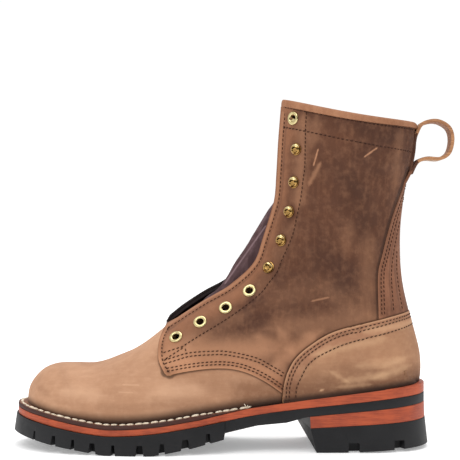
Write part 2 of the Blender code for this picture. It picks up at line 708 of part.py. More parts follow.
def turned(name, profile, frame, look=None):
    """Ring turned from a closed profile of radius and height about the frame's Z."""
    points = []
    for i in range(ROUND_SIDES):
        turn = 2 * math.pi * i / ROUND_SIDES
        points += [(r * math.cos(turn), r * math.sin(turn), h) for r, h in profile]
    count = len(profile)
    faces = []
    for i in range(ROUND_SIDES):
        for k in range(count):
            near = i * count
            far = (i + 1) % ROUND_SIDES * count
            faces.append((near + k, far + k, far + (k + 1) % count, near + (k + 1) % count))
    return placed(name, points, faces, frame, look)


def placed(name, points, faces, frame, look):
    """Mesh from points in a local frame."""
    shift = Vector((CENTRE_X, CENTRE_Y, 0))
    world = [(frame @ (Vector(point) * MM)) / MM + shift for point in points]
    return mesh_object(name, [tuple(point) for point in world], faces, look)


EYELET_PROFILE = ((EYELET_HOLE, -EYELET_DEEP), (EYELET_HOLE, 0.8), (3.8, 1.4), (EYELET_FLANGE, JOIN),
                  (EYELET_BARREL, JOIN), (EYELET_BARREL, -EYELET_DEEP))
# Hook in section: across the eyestay and out of the leather, curled open to the rear
HOOK_SECTION = ((-4.3, 0.3), (4.3, 0.3), (4.3, 1.1), (-1.6, 1.1), (-2.4, 2.0), (-1.6, 3.2),
                (0.6, 3.7), (3.0, 3.0), (3.8, 3.8), (0.8, 4.9), (-2.6, 4.2), (-4.0, 2.2))
# Slices of the hook up the eyestay: place and narrowing
HOOK_SLICES = ((-3.6, 0.72), (-2.0, 1.0), (2.0, 1.0), (3.6, 0.72))


def make_eyelets(upper, quarters):
    """Brass eyelets through the quarters and the wall, four low and one at the collar."""
    seats = [(side, i + 1, seat_on(quarters[side], x, z, side))
             for side in SIDES for i, (x, z) in enumerate(EYELETS)]
    for side, number, frame in seats:
        name = f"eyelet_{side}_{number}"
        hole = hole_cutter(name + "_hole", frame)
        boolean(upper, "DIFFERENCE", hole)
        boolean(quarters[side], "DIFFERENCE", hole)
        turned(name, EYELET_PROFILE, frame, BRASS)


def hole_cutter(name, frame):
    """Hidden round cutter for one eyelet's barrel."""
    radius = EYELET_BARREL + JOIN
    turns = [2 * math.pi * i / ROUND_SIDES for i in range(ROUND_SIDES)]
    points = [(radius * math.cos(turn), radius * math.sin(turn), z) for z in HOLE_REACH for turn in turns]
    faces = [tuple(range(ROUND_SIDES)), tuple(range(2 * ROUND_SIDES - 1, ROUND_SIDES - 1, -1))]
    faces += [(i, (i + 1) % ROUND_SIDES, (i + 1) % ROUND_SIDES + ROUND_SIDES, i + ROUND_SIDES)
              for i in range(ROUND_SIDES)]
    return placed(name, points, faces, frame, None)


def make_hooks(quarters):
    """Brass speed hooks, curled open to the rear."""
    for side in SIDES:
        rear = 1 if side == "lateral" else -1
        for i, (x, z) in enumerate(HOOKS):
            frame = seat_on(quarters[side], x, z, side)
            points = [(rear * across * narrow, along, height) for along, narrow in HOOK_SLICES
                      for across, height in HOOK_SECTION]
            count = len(HOOK_SECTION)
            last = len(HOOK_SLICES) - 1
            faces = [tuple(range(count)), tuple(range((last + 1) * count - 1, last * count - 1, -1))]
            for row in range(last):
                for k in range(count):
                    near = row * count
                    far = near + count
                    faces.append((near + k, near + (k + 1) % count, far + (k + 1) % count, far + k))
            placed(f"hook_{side}_{i + 1}", points, faces, frame, BRASS)


def main():
    """Build the boot from the ground up."""
    for piece in list(bpy.data.objects):
        bpy.data.objects.remove(piece)
    make_outsole()
    make_midsole()
    make_welt()
    make_heel()
    make_insole()
    upper, quarters = make_uppers()
    make_binding()
    make_tongue()
    make_pull_loop()
    make_hooks(quarters)
    make_eyelets(upper, quarters)


main()
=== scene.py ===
"""Studio picture of a lace-up work boot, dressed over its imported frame.

The toe points along -X, the outer side faces the camera along -Y and the boot stands on z = 0.
Tables are in millimetres in the last's own frame; meshes are placed in metres.
"""
from __future__ import annotations

import json
import logging
import math
from dataclasses import dataclass
from enum import Enum
from typing import Callable, Iterable, Sequence

import bpy
import numpy as np
from mathutils import Matrix, Vector

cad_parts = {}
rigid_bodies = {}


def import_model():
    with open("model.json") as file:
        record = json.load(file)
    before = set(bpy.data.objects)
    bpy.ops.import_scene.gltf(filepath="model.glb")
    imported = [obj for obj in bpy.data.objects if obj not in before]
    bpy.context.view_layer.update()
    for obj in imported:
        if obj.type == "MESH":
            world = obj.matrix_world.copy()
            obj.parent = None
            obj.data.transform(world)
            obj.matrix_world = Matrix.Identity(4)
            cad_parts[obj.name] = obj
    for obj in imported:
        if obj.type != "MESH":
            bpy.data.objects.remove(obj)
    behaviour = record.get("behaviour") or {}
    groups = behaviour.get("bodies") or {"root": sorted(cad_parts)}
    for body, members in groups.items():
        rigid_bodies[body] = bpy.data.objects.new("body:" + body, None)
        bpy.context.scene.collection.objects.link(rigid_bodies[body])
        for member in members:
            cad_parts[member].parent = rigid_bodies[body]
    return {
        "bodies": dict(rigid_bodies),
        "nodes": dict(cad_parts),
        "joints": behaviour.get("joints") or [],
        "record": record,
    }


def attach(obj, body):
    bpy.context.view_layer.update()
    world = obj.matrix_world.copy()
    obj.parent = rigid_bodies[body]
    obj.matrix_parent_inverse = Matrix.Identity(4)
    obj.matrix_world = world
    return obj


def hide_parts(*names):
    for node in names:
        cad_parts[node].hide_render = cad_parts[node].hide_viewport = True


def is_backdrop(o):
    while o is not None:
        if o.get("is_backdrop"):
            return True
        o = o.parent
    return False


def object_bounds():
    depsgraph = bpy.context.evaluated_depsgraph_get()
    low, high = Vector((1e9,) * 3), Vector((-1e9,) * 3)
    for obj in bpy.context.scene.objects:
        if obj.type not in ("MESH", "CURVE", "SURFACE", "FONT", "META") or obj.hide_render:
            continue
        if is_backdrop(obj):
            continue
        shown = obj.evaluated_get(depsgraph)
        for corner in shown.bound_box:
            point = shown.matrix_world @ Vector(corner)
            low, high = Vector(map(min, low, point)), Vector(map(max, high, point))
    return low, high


LOG = logging.getLogger("boot")
Pair = tuple[float, float]
Triple = tuple[float, float, float]
Curve = Sequence[Pair]
Color = Triple
Array = np.ndarray
Flank = Array | int
Reach = Array | float
Piece = bpy.types.Object
Placing = Callable[[Array, Array], Array]
Picking = Callable[[Array, Array, Array], Array]
Height = Callable[[Array], Array]
Grid = tuple[int, int]

MM = 0.001
UP = np.array((0.0, 0.0, 1.0))
UPWARD = 0.8            # least rise of a face that looks up
SHIFT = np.array((2.9, 0.8, 0.0))       # middle of the boot's box in the last's own frame
JOIN = 0.3
WALL = 2.2
LAP_INSET = 3.0
QUARTER_TOP = 1.9
BACKSTAY_TOP = 2.4
COUNTER_TOP = 3.0
RIM_ROW = 22.76
HEEL_ROW = 16
# The inner throat edge lies nearer the crest low down and further back above
MEDIAL_ROWS = (17.0, 20.0)
MEDIAL_GAPS = (0.65, 1.3)
WELT_THICK = 3.0
WELT_WIDE = 12.0
DROP_X = (-120.0, -90.0, -20.0, 12.0, 26.0, 52.0, 95.0, 140.0)
DROP = (8.2, 7.7, 7.7, 5.8, 5.5, 5.9, 7.0, 7.5)
COLLAR_X = (39.8, 137.4)
COLLAR_Z = (257.6, 240.8)
COLLAR_DIP = 4.0
# Outline of the rolled binding: section and distance from the last
COLLAR_ROLL = ((22.742, 1.2), (22.742, 2.5), (22.77, 3.2), (22.83, 3.45), (22.9, 3.1), (22.96, 2.2),
               (22.99, 0.9), (23.0, -0.3), (22.99, -1.5), (22.96, -2.6), (22.9, -3.2), (22.8, -3.3),
               (22.742, -2.6))
DIP_REACH = 60.0
WELT_END_X = 12.0
WELT_TAPER = 34.0
# Outline of the welt: distance out from the sole's edge and height, with a channel for the thread
WELT_PROFILE = ((-WELT_WIDE, 0.0), (-0.6, 0.0), (0.0, 0.7), (0.15, 1.5), (0.0, 2.3), (-0.7, 3.0),
                (-1.6, 3.05), (-2.2, 2.75), (-3.4, 2.75), (-4.2, 3.05), (-WELT_WIDE, 3.0))
TOE_RISE = 0.27
# How far the sole's layers climb round the toe, by x
CLIMB_X = (-162.0, -150.0, -138.0, -120.0, -105.0, -90.0)
CLIMB = (0.7, 1.6, 2.1, 2.0, 1.0, 0.0)
HEEL_FLAT = 128.0
HEEL_RISE = 0.1
LUG_INSET = 14.0
LUG_HIGH = 7.6

# One row for each section of the last: base x and z, edge x and z, and the columns named here
BASE = slice(0, 2)
EDGE_AT = slice(2, 4)
SWING, GAP, WIDE, FOOT, BELLY, SHELF_WIDE = range(4, 10)
LAST = (
    (-152.3, 29.8, -152.3, 36.3, 8.0, 0.0, 0.0, 0.0, 0.35, 7.5),
    (-150.9, 29.4, -151.1, 43.2, 7.5, 0.0, 13.0, 11.5, 0.35, 7.2),
    (-146.6, 28.4, -147.2, 50.1, 7.0, 0.0, 23.4, 21.6, 0.35, 6.6),
    (-139.4, 26.9, -139.8, 57.0, 6.2, 0.0, 32.0, 30.2, 0.33, 6.2),
    (-129.3, 25.0, -129.7, 60.6, 5.2, 0.0, 39.2, 37.5, 0.32, 5.9),
    (-116.3, 23.0, -116.3, 61.1, 4.2, 0.0, 44.2, 42.8, 0.32, 5.7),
    (-100.0, 21.5, -100.0, 61.4, 3.2, 0.0, 47.5, 46.2, 0.30, 5.5),
    (-84.0, 21.0, -84.0, 66.7, 2.0, 0.0, 49.0, 48.0, 0.30, 5.5),
    (-66.0, 21.9, -66.5, 75.0, 0.2, 0.0, 49.0, 48.2, 0.30, 5.5),
    (-46.0, 24.1, -48.5, 88.6, -2.0, 0.0, 46.8, 46.0, 0.31, 5.2),
    (-18.0, 28.1, -33.1, 99.6, -3.7, 7.0, 41.0, 39.2, 0.33, 4.0),
    (14.0, 32.2, -17.1, 109.8, -3.7, 10.0, 37.3, 33.7, 0.36, 3.2),
    (48.0, 36.8, -1.1, 118.2, -2.7, 12.0, 36.5, 32.2, 0.39, 3.4),
    (84.0, 41.5, 11.0, 127.6, -1.0, 13.0, 36.8, 33.5, 0.40, 4.2),
    (114.0, 45.4, 18.5, 136.0, -0.2, 14.0, 36.8, 32.2, 0.39, 5.0),
    (132.0, 47.2, 22.2, 143.5, 0.0, 14.0, 36.5, 21.0, 0.38, 6.0),
    (138.7, 47.4, 24.0, 149.5, 0.0, 14.0, 36.5, 0.0, 0.37, 6.5),
    (139.6, 67.0, 25.7, 155.0, 0.0, 14.0, 36.5, 0.0, 0.38, 0.0),
    (133.4, 93.3, 28.2, 162.5, 0.0, 14.0, 36.5, 0.0, 0.41, 0.0),
    (126.6, 125.0, 31.7, 173.6, 0.0, 14.5, 37.0, 0.0, 0.45, 0.0),
    (125.4, 160.0, 34.7, 185.8, 0.0, 15.0, 38.0, 0.0, 0.48, 0.0),
    (129.4, 193.0, 36.1, 205.0, 0.0, 15.0, 40.5, 0.0, 0.50, 0.0),
    (135.0, 217.0, 37.4, 228.0, 0.0, 15.5, 43.0, 0.0, 0.50, 0.0),
    (137.4, 240.8, 39.8, 257.6, 0.0, 16.0, 45.0, 0.0, 0.50, 0.0),
)
TOP_ROW = len(LAST) - 1

# Seam curves in the side view
COUNTER_RISE: Curve = ((38.1, 36.5), (38.7, 48.0), (41.0, 57.3))
COUNTER_EDGE: Curve = ((41.0, 57.3), (46.8, 67.7), (57.2, 76.9), (72.7, 86.1), (91.2, 91.7),
                       (115.3, 97.2), (131.6, 100.4))
STAY_EDGE: Curve = ((107.4, 90.0), (107.1, 103.2), (106.8, 127.6), (109.7, 141.5), (117.5, 169.6),
                    (126.4, 193.0), (130.8, 205.5))
STAY_TOP_ROW = 21.6
QUARTER_FRONT: Curve = ((-45.3, 56.4), (-48.0, 60.0), (-50.7, 65.7), (-51.3, 72.0), (-51.0, 78.0),
                        (-49.2, 84.0), (-46.2, 90.3))
QUARTER_LOWER: Curve = ((-45.3, 56.4), (-30.2, 59.3), (-13.6, 61.1), (1.3, 60.7), (13.7, 57.4),
                        (26.2, 51.1), (37.4, 43.3))
QUARTER_HIDDEN: Curve = ((43.5, 43.5), (46.0, 53.0), (52.0, 63.0), (62.0, 72.0), (76.0, 80.5),
                         (94.0, 86.5), (111.0, 91.0), (112.0, 103.0), (111.5, 127.0), (114.5, 141.0),
                         (122.0, 169.0), (129.0, 190.0), (134.0, 210.0), (136.6, 228.0), (137.2, 235.2))

QUARTER_WARP = 1.45

EYELETS: Curve = ((-38.7, 82.0), (-21.3, 92.9), (-2.8, 103.2), (14.7, 115.6), (47.5, 243.3))
HOOKS: Curve = ((29.0, 132.8), (38.6, 153.4), (44.4, 174.3), (47.9, 195.9), (49.6, 220.2))

TONGUE_ROWS = (8.7, 10.3, 10.9, 11.5, 12.0, 13.0, 14.0, 15.0, 16.0, 17.0, 18.0, 19.0, 20.0, 22.5)
TONGUE_FOLD = (0.0, 0.3, 3.0, 4.0, 6.8, 10.7, 10.5, 8.6, 6.5, 5.5, 4.8, 3.0, 0.0, 0.0)

LOOP_BIGHT: Curve = ((139.6, 233.5), (144.0, 240.5), (154.5, 242.7), (163.5, 238.0), (166.3, 229.5),
                     (164.0, 219.0), (157.0, 214.4), (147.0, 214.6), (139.8, 211.6), (135.2, 203.0))
STRAP: Curve = ((133.6, 203.0), (135.8, 212.0), (137.2, 220.0), (138.0, 228.0))

# How far the inner flap of the throat stands open, by section
FLAP_ROWS = (8.9, 9.1, 9.4, 10.0, 12.0, 13.2, 14.5)
FLAP_STAND = (0.0, 0.7, 3.2, 3.6, 2.6, 1.6, 0.0)
# The outer flap lies lower near the vamp
SINK_ROWS = (9.0, 9.6, 11.2, 12.4)
SINK = (0.0, 1.5, 1.5, 0.0)

TREAD_X = (-162.0, -128.0, -90.0, -56.0, -28.0, -4.2)
TREAD_Z = (11.8, 5.6, 0.0, 0.0, 4.6, 10.4)
WAIST_X = (-3.8, 20.0, 41.0, 57.0, 146.0)
WAIST_Z = (14.6, 19.6, 21.4, 25.7, 34.2)
# Heel in plan: where its round starts, its length, half-width and squareness
HEEL_PLAN = (98.0, 47.2, 38.4, 2.3)
STACK_X = (58.0, 146.0)
STACK_Z = (17.3, 22.4)
TOP_PIECE_X = (60.0, 92.0, 146.0)
TOP_PIECE_Z = (0.0, 0.4, 3.0)
STEP_X = -4.0           # rear wall of the forefoot tread
SKIM = 0.05             # space between the sole's layers
# Notches between the lugs: x and width
LUGS = ((-136.7, 3.4), (-123.7, 5.4), (-110.7, 3.8), (-97.0, 7.0), (-82.4, 4.2), (-64.0, 7.6),
        (-49.0, 5.4), (-33.2, 8.2), (-16.8, 5.2))
LUG_DEEP = 7.0
# Notches of the heel: x, width and height
HEEL_NOTCHES = ((89.6, 8.0, 7.0), (119.0, 8.4, 8.4))


class Side(Enum):
    """Side of the foot, with its direction along Y."""

    LATERAL = -1
    MEDIAL = 1


def srgb(red: int, green: int, blue: int) -> Color:
    """Linear colour of an 8-bit display colour.

    Args:
        red: red level.
        green: green level.
        blue: blue level.

    Returns:
        Linear red, green and blue.
    """
    def linear(level: int) -> float:
        """Linear share of one level."""
        share = level / 255
        return share / 12.92 if share <= 0.04045 else ((share + 0.055) / 1.055) ** 2.4

    return linear(red), linear(green), linear(blue)


class Value:
    """A shader socket with arithmetic; every operation adds a Math node."""

    def __init__(self, graph: Graph, socket: bpy.types.NodeSocket) -> None:
        """Wrap a socket of the graph."""
        self.graph = graph
        self.socket = socket

    def math(self, operation: str, *others: Value | float) -> Value:
        """Math node with this value first."""
        return self.graph.node("ShaderNodeMath", {"operation": operation}, (self, *others))

    def __add__(self, other: Value | float) -> Value:
        """Sum."""
        return self.math("ADD", other)

    def __sub__(self, other: Value | float) -> Value:
        """Difference."""
        return self.math("SUBTRACT", other)

    def __rsub__(self, other: Value | float) -> Value:
        """Difference from a number."""
        return self.graph.node("ShaderNodeMath", {"operation": "SUBTRACT"}, (other, self))

    def __mul__(self, other: Value | float) -> Value:
        """Product."""
        return self.math("MULTIPLY", other)

    def __pow__(self, other: Value | float) -> Value:
        """Power."""
        return self.math("POWER", other)

    def __abs__(self) -> Value:
        """Size without its sign."""
        return self.math("ABSOLUTE")

    def ramp(self, low: float, high: float, start: float = 0.0, end: float = 1.0) -> Value:
        """Smooth step from start at low to end at high."""
        inputs = {"Value": self, "From Min": low, "From Max": high, "To Min": start, "To Max": end}
        return self.graph.node("ShaderNodeMapRange", {"interpolation_type": "SMOOTHSTEP"}, inputs)


Input = Value | float | Color | tuple


class Graph:
    """Node tree of one material, built by calls."""

    def __init__(self, material: bpy.types.Material) -> None:
        """Start from the material's Principled shader.

        Args:
            material: the material.
        """
        material.use_nodes = True
        self.tree = material.node_tree
        self.shader = self.tree.nodes["Principled BSDF"]
        self.place = self.node("ShaderNodeTexCoord", {}, {}, "Object")
        parts = self.tree.nodes.new("ShaderNodeSeparateXYZ")
        self.feed(parts.inputs[0], self.place)
        self.x, self.y, self.z = (Value(self, parts.outputs[i]) for i in range(3))

    def feed(self, socket: bpy.types.NodeSocket, value: Input) -> None:
        """Link a value to a socket, or set the socket's own number.

        Args:
            socket: the input.
            value: a value, number or colour.
        """
        if isinstance(value, Value):
            self.tree.links.new(value.socket, socket)
        elif isinstance(value, tuple) and len(value) == 3 and socket.type == "RGBA":
            socket.default_value = (*value, 1.0)
        else:
            socket.default_value = value

    def node(self, kind: str, settings: dict[str, object], inputs: dict | tuple = (),
             output: int | str = 0) -> Value:
        """Add any node.

        Args:
            kind: node type.
            settings: properties of the node.
            inputs: values by socket order or by socket name.
            output: the socket handed back.

        Returns:
            The chosen output.
        """
        made = self.tree.nodes.new(kind)
        for key, setting in settings.items():
            setattr(made, key, setting)
        pairs = inputs.items() if isinstance(inputs, dict) else enumerate(inputs)
        for key, value in pairs:
            self.feed(made.inputs[key], value)
        return Value(self, made.outputs[output])

    def mix(self, share: Input, first: Input, second: Input, blend: str = "MIX") -> Value:
        """Colour between two colours."""
        settings = {"data_type": "RGBA", "blend_type": blend}
        return self.node("ShaderNodeMix", settings, {0: share, 6: first, 7: second}, 2)

    def stretched(self, x: float, y: float, z: float) -> Value:
        """Object coordinates scaled along each axis."""
        return self.node("ShaderNodeVectorMath", {"operation": "MULTIPLY"}, (self.place, (x, y, z)))

    def noise(self, scale: float, detail: float = 3.0, rough: float = 0.55,
              vector: Value | None = None) -> Value:
        """Noise at a scale, in object coordinates unless a vector is given."""
        inputs = {"Vector": vector or self.place, "Scale": scale, "Detail": detail, "Roughness": rough}
        return self.node("ShaderNodeTexNoise", {}, inputs)

    def attribute(self, name: str) -> Value:
        """A number stored on the mesh's points."""
        return self.node("ShaderNodeAttribute", {"attribute_name": name}, {}, "Fac")

    def bump(self, height: Value, depth: float) -> None:
        """Drive the shader's normal by a height."""
        inputs = {"Strength": 1.0, "Distance": depth, "Height": height}
        self.feed(self.shader.inputs["Normal"], self.node("ShaderNodeBump", {}, inputs))

    def set(self, **values: Input) -> None:
        """Feed the shader's sockets; underscores stand for spaces."""
        for key, value in values.items():
            self.feed(self.shader.inputs[key.replace("_", " ")], value)


@dataclass(frozen=True)
class RubOrLightMark:
    """Pale or dark mark on the outer side, along a line in the side view; the marks are rub marks,
    painted shade and painted highlights.
    """

    start: Pair
    end: Pair
    wide: float
    strength: float

    def mask(self, graph: Graph) -> Value:
        """Soft strip along the mark, rough at its rim.

        Args:
            graph: its nodes.

        Returns:
            Share of the mark, below zero for a dark one.
        """
        start = (np.array(self.start) - SHIFT[[0, 2]]) * MM
        end = (np.array(self.end) - SHIFT[[0, 2]]) * MM
        run = end - start
        length = float(np.hypot(*run))
        way = run / length
        dx = graph.x - float(start[0])
        dz = graph.z - float(start[1])
        along = dx * float(way[0]) + dz * float(way[1])
        across = abs(dx * float(-way[1]) + dz * float(way[0]))
        over = abs(along - length / 2) - length / 2
        reach = across + over.math("MAXIMUM", 0.0) * 0.6
        grain = graph.noise(420.0 * (1.5 / max(self.wide, 1.5)) ** 0.7, 4.0)
        ragged = reach + (grain - 0.5) * (min(self.wide, 4.0) * MM)
        near = graph.y.ramp(0.0, -0.012)
        return ragged.ramp(self.wide * MM, 0.0) * near * self.strength


@dataclass(frozen=True)
class Finish:
    """A procedural surface; each kind of surface dresses its own graph."""

    name: str
    color: Color
    roughness: float = 0.6

    def material(self) -> bpy.types.Material:
        """The finish's material, made once.

        Returns:
            The material.
        """
        made = bpy.data.materials.get(self.name)
        if made is None:
            made = bpy.data.materials.new(self.name)
            self.dress(Graph(made))
            made.diffuse_color = (*self.color, 1.0)
        return made

    def dress(self, graph: Graph) -> None:
        """Wire the surface."""
        graph.set(Base_Color=self.color, Roughness=self.roughness)


# Painted shade: shadow under lapped edges, in the stitch troughs and, with dirt, in the gap above the
# sole
SEAM_SHADE = srgb(44, 27, 20)


@dataclass(frozen=True)
class Nubuck(Finish):
    """Oiled nubuck: mottled, napped, with rub marks, painted shade and painted highlights."""

    dark: Color = (0.1, 0.05, 0.03)
    pale: Color = (0.5, 0.3, 0.18)
    streak: float = 0.3
    grain: Triple = (420.0, 300.0, 42.0)
    nap: float = 0.00010
    rim: Color | None = None
    band: float = 12.0
    soft: float = 0.2
    # Paints shadow under the edges of panels that lie over this one
    lap_shadow: bool = False
    # Width of the painted shade and dirt along the bottom of the upper, in the gap above the sole; 0 for
    # none
    foot: float = 0.0
    deep: Color = (0.05, 0.025, 0.015)
    # Rub marks, painted shade and painted highlights, along lines in the side view
    rubs_and_light: tuple[RubOrLightMark, ...] = ()

    def dress(self, graph: Graph) -> None:
        """Wire clouds, fibres, rubbed rims, rub marks, painted highlights, painted shade under laps,
        along seams and above the sole, and the nap's bump.

        Args:
            graph: its nodes.
        """
        broad = graph.noise(14.0, 5.0, 0.58).ramp(0.33, 0.67)
        fibres = graph.noise(1.0, 4.0, 0.6, graph.stretched(*self.grain))
        fine = graph.noise(210.0, 4.0, 0.6)
        speck = graph.noise(900.0, 2.0, 0.6)
        shade = broad * (1 - self.streak) + fibres.ramp(0.3, 0.7) * self.streak
        color = graph.mix(shade, self.dark, self.color)
        if self.rim is not None:
            near = graph.attribute("rim")
            ragged = near + (broad - 0.5) * (self.band * 0.9 * (1 - self.soft)) + (fine - 0.5) * 2.0
            color = graph.mix(ragged.ramp(self.band, self.band * self.soft) * 0.85, color, self.rim)
            # Pale lip at the panel's edge: burnished edge and a painted highlight where the edge catches
            # light
            color = graph.mix(near.ramp(1.2, 0.5) * 0.3, color, self.pale)
            # Painted shade in the troughs along the stitch rows
            sewn = graph.attribute("sewn")
            color = graph.mix(sewn.ramp(1.1, 0.3) * 0.26, color, SEAM_SHADE)
        # Rub marks, with painted shade and painted highlights among them
        for rub_or_light in self.rubs_and_light:
            target = self.pale if rub_or_light.strength > 0 else self.deep
            mask = rub_or_light.mask(graph)
            color = graph.mix(abs(mask), color, target)
        color = graph.mix((fine - 0.46) * 0.45, color, self.pale)
        color = graph.mix((fibres - 0.52) * self.streak, color, self.pale)
        color = graph.mix(speck.ramp(0.58, 0.75) * 0.16, color, self.dark)
        # Painted shadow under the edges of panels that lie over this one
        if self.lap_shadow:
            under = graph.attribute("lap_shadow")
            color = graph.mix(under.ramp(1.8, 0.3) * 0.65, color, SEAM_SHADE)
        # Painted shade and dirt along the bottom of the upper, in the gap above the sole
        if self.foot:
            above = graph.attribute("foot")
            color = graph.mix(above.ramp(self.foot, 1.2) ** 1.2 * 0.95, color, SEAM_SHADE)
        height = fine * 0.5 + speck * 0.35 + graph.noise(2200.0, 2.0) * 0.3 + fibres * 0.4
        graph.bump(height, self.nap)
        graph.set(Base_Color=color, Roughness=graph.noise(90.0).ramp(0.3, 0.7, 0.66, 0.8),
                  Specular_IOR_Level=0.16)


@dataclass(frozen=True)
class CutLeather(Finish):
    """Edge of cut leather, with fibres lying along it."""

    dark: Color = (0.2, 0.1, 0.05)
    gloss: float = 0.0
    layers: float = 0.0

    def dress(self, graph: Graph) -> None:
        """Wire horizontal fibres, blotches and the layers of a built-up edge.

        Args:
            graph: its nodes.
        """
        fibres = graph.noise(1.0, 5.0, 0.65, graph.stretched(90.0, 90.0, 1500.0))
        blotch = graph.noise(70.0, 3.0, 0.55)
        shade = (fibres * 0.6 + blotch * 0.4).ramp(0.36, 0.62)
        color = graph.mix(shade, self.dark, self.color)
        height = fibres
        if self.layers:
            line = graph.noise(1.0, 2.0, 0.5, graph.stretched(25.0, 25.0, self.layers)).ramp(0.42, 0.5)
            color = graph.mix((1 - line) * 0.22, color, self.dark)
            height = height + line * 0.6
        graph.bump(height, 0.00012)
        rough = blotch.ramp(0.3, 0.7, self.roughness - 0.06, self.roughness + 0.08)
        graph.set(Base_Color=color, Roughness=rough, Coat_Weight=self.gloss, Coat_Roughness=0.35,
                  Specular_IOR_Level=0.3)


@dataclass(frozen=True)
class Rubber(Finish):
    """Moulded rubber, dusty on its faces."""

    dust: Color = (0.1, 0.1, 0.1)

    def dress(self, graph: Graph) -> None:
        """Wire dust and a fine moulded grain.

        Args:
            graph: its nodes.
        """
        cloud = graph.noise(60.0, 4.0, 0.6).ramp(0.42, 0.75)
        grain = graph.noise(1500.0, 2.0)
        color = graph.mix(cloud * 0.35, self.color, self.dust)
        graph.bump(grain + graph.noise(180.0) * 0.6, 0.00008)
        graph.set(Base_Color=color, Roughness=cloud.ramp(0.0, 1.0, self.roughness, self.roughness + 0.14),
                  Specular_IOR_Level=0.3)


@dataclass(frozen=True)
class Brass(Finish):
    """Plated brass with faint handling marks."""

    dark: Color = (0.3, 0.18, 0.05)

    def dress(self, graph: Graph) -> None:
        """Wire tarnish and polish.

        Args:
            graph: its nodes.
        """
        tarnish = graph.noise(700.0, 3.0, 0.6).ramp(0.5, 0.75)
        color = graph.mix(tarnish * 0.4, self.color, self.dark)
        graph.bump(graph.noise(1600.0, 2.0), 0.00003)
        worn = tarnish.ramp(0.0, 1.0, self.roughness, self.roughness + 0.2)
        graph.set(Base_Color=color, Metallic=1.0, Roughness=worn)


@dataclass(frozen=True)
class Thread(Finish):
    """Twisted thread."""

    dark: Color = (0.02, 0.01, 0.01)

    def dress(self, graph: Graph) -> None:
        """Wire strands and soil.

        Args:
            graph: its nodes.
        """
        strand = graph.noise(1.0, 2.0, 0.5, graph.stretched(1400.0, 1400.0, 2600.0))
        color = graph.mix(strand.ramp(0.35, 0.65), self.dark, self.color)
        graph.bump(strand, 0.00012)
        rough = strand.ramp(0.2, 0.8, self.roughness - 0.1, self.roughness + 0.1)
        graph.set(Base_Color=color, Roughness=rough, Specular_IOR_Level=0.12)


@dataclass(frozen=True)
class Sections:
    """Sections of the last at many places at once."""

    base: Array
    top: Array
    swing: Array
    gap: Array
    wide: Array
    foot: Array
    belly: Array
    shelf: Array


def smooth_rows(rows: Array, place: Array) -> Array:
    """Rows at fractional places on a smooth curve through equally spaced rows.

    Args:
        rows: the rows.
        place: places among them.

    Returns:
        One row for each place.
    """
    place = np.clip(np.asarray(place, dtype=float), 0, len(rows) - 1)
    first = np.minimum(place.astype(int), len(rows) - 2)
    step = (place - first)[..., None]
    before = rows[np.maximum(first - 1, 0)]
    start = rows[first]
    end = rows[first + 1]
    after = rows[np.minimum(first + 2, len(rows) - 1)]
    square = step * step
    cube = square * step
    return (start * (2 * cube - 3 * square + 1) + (end - before) / 2 * (cube - 2 * square + step)
            + end * (3 * square - 2 * cube) + (after - start) / 2 * (cube - square))


def smooth_curve(points: Curve, steps: int = 8) -> Array:
    """Points along a smooth curve, a few for each span."""
    rows = np.array(points, dtype=float)
    return smooth_rows(rows, np.linspace(0, len(rows) - 1, (len(rows) - 1) * steps + 1))


def run_lengths(walk: Array) -> Array:
    """Distance of each point of a polyline from its start."""
    return np.concatenate(([0.0], np.cumsum(np.linalg.norm(np.diff(walk, axis=0), axis=1))))


def unit(ways: Array) -> Array:
    """Directions brought to length 1."""
    return ways / np.linalg.norm(ways, axis=-1, keepdims=True)


def metres(spots: Array) -> Array:
    """Places of the last's frame, moved to the part's own."""
    return (spots - SHIFT) * MM


def bell(off: Array, wide: float) -> Array:
    """Soft hump, 1 in its middle."""
    return np.exp(-(off / wide) ** 2)


def flanks(share: Array) -> Array:
    """Side of the foot on a piece that runs from the outer side to the inner one."""
    return np.where(share < 0.5, Side.LATERAL.value, Side.MEDIAL.value)


def along(curve: Array, share: Array, lengths: Array | None = None) -> Array:
    """Points at shares of a polyline's length, measured on the line itself or given.

    Args:
        curve: the polyline.
        share: shares from 0 to 1.
        lengths: distances of its points, if not its own.

    Returns:
        One point for each share.
    """
    if lengths is None:
        lengths = run_lengths(curve)
    at = share * lengths[-1]
    return np.stack([np.interp(at, lengths, curve[:, k]) for k in range(curve.shape[1])], axis=-1)


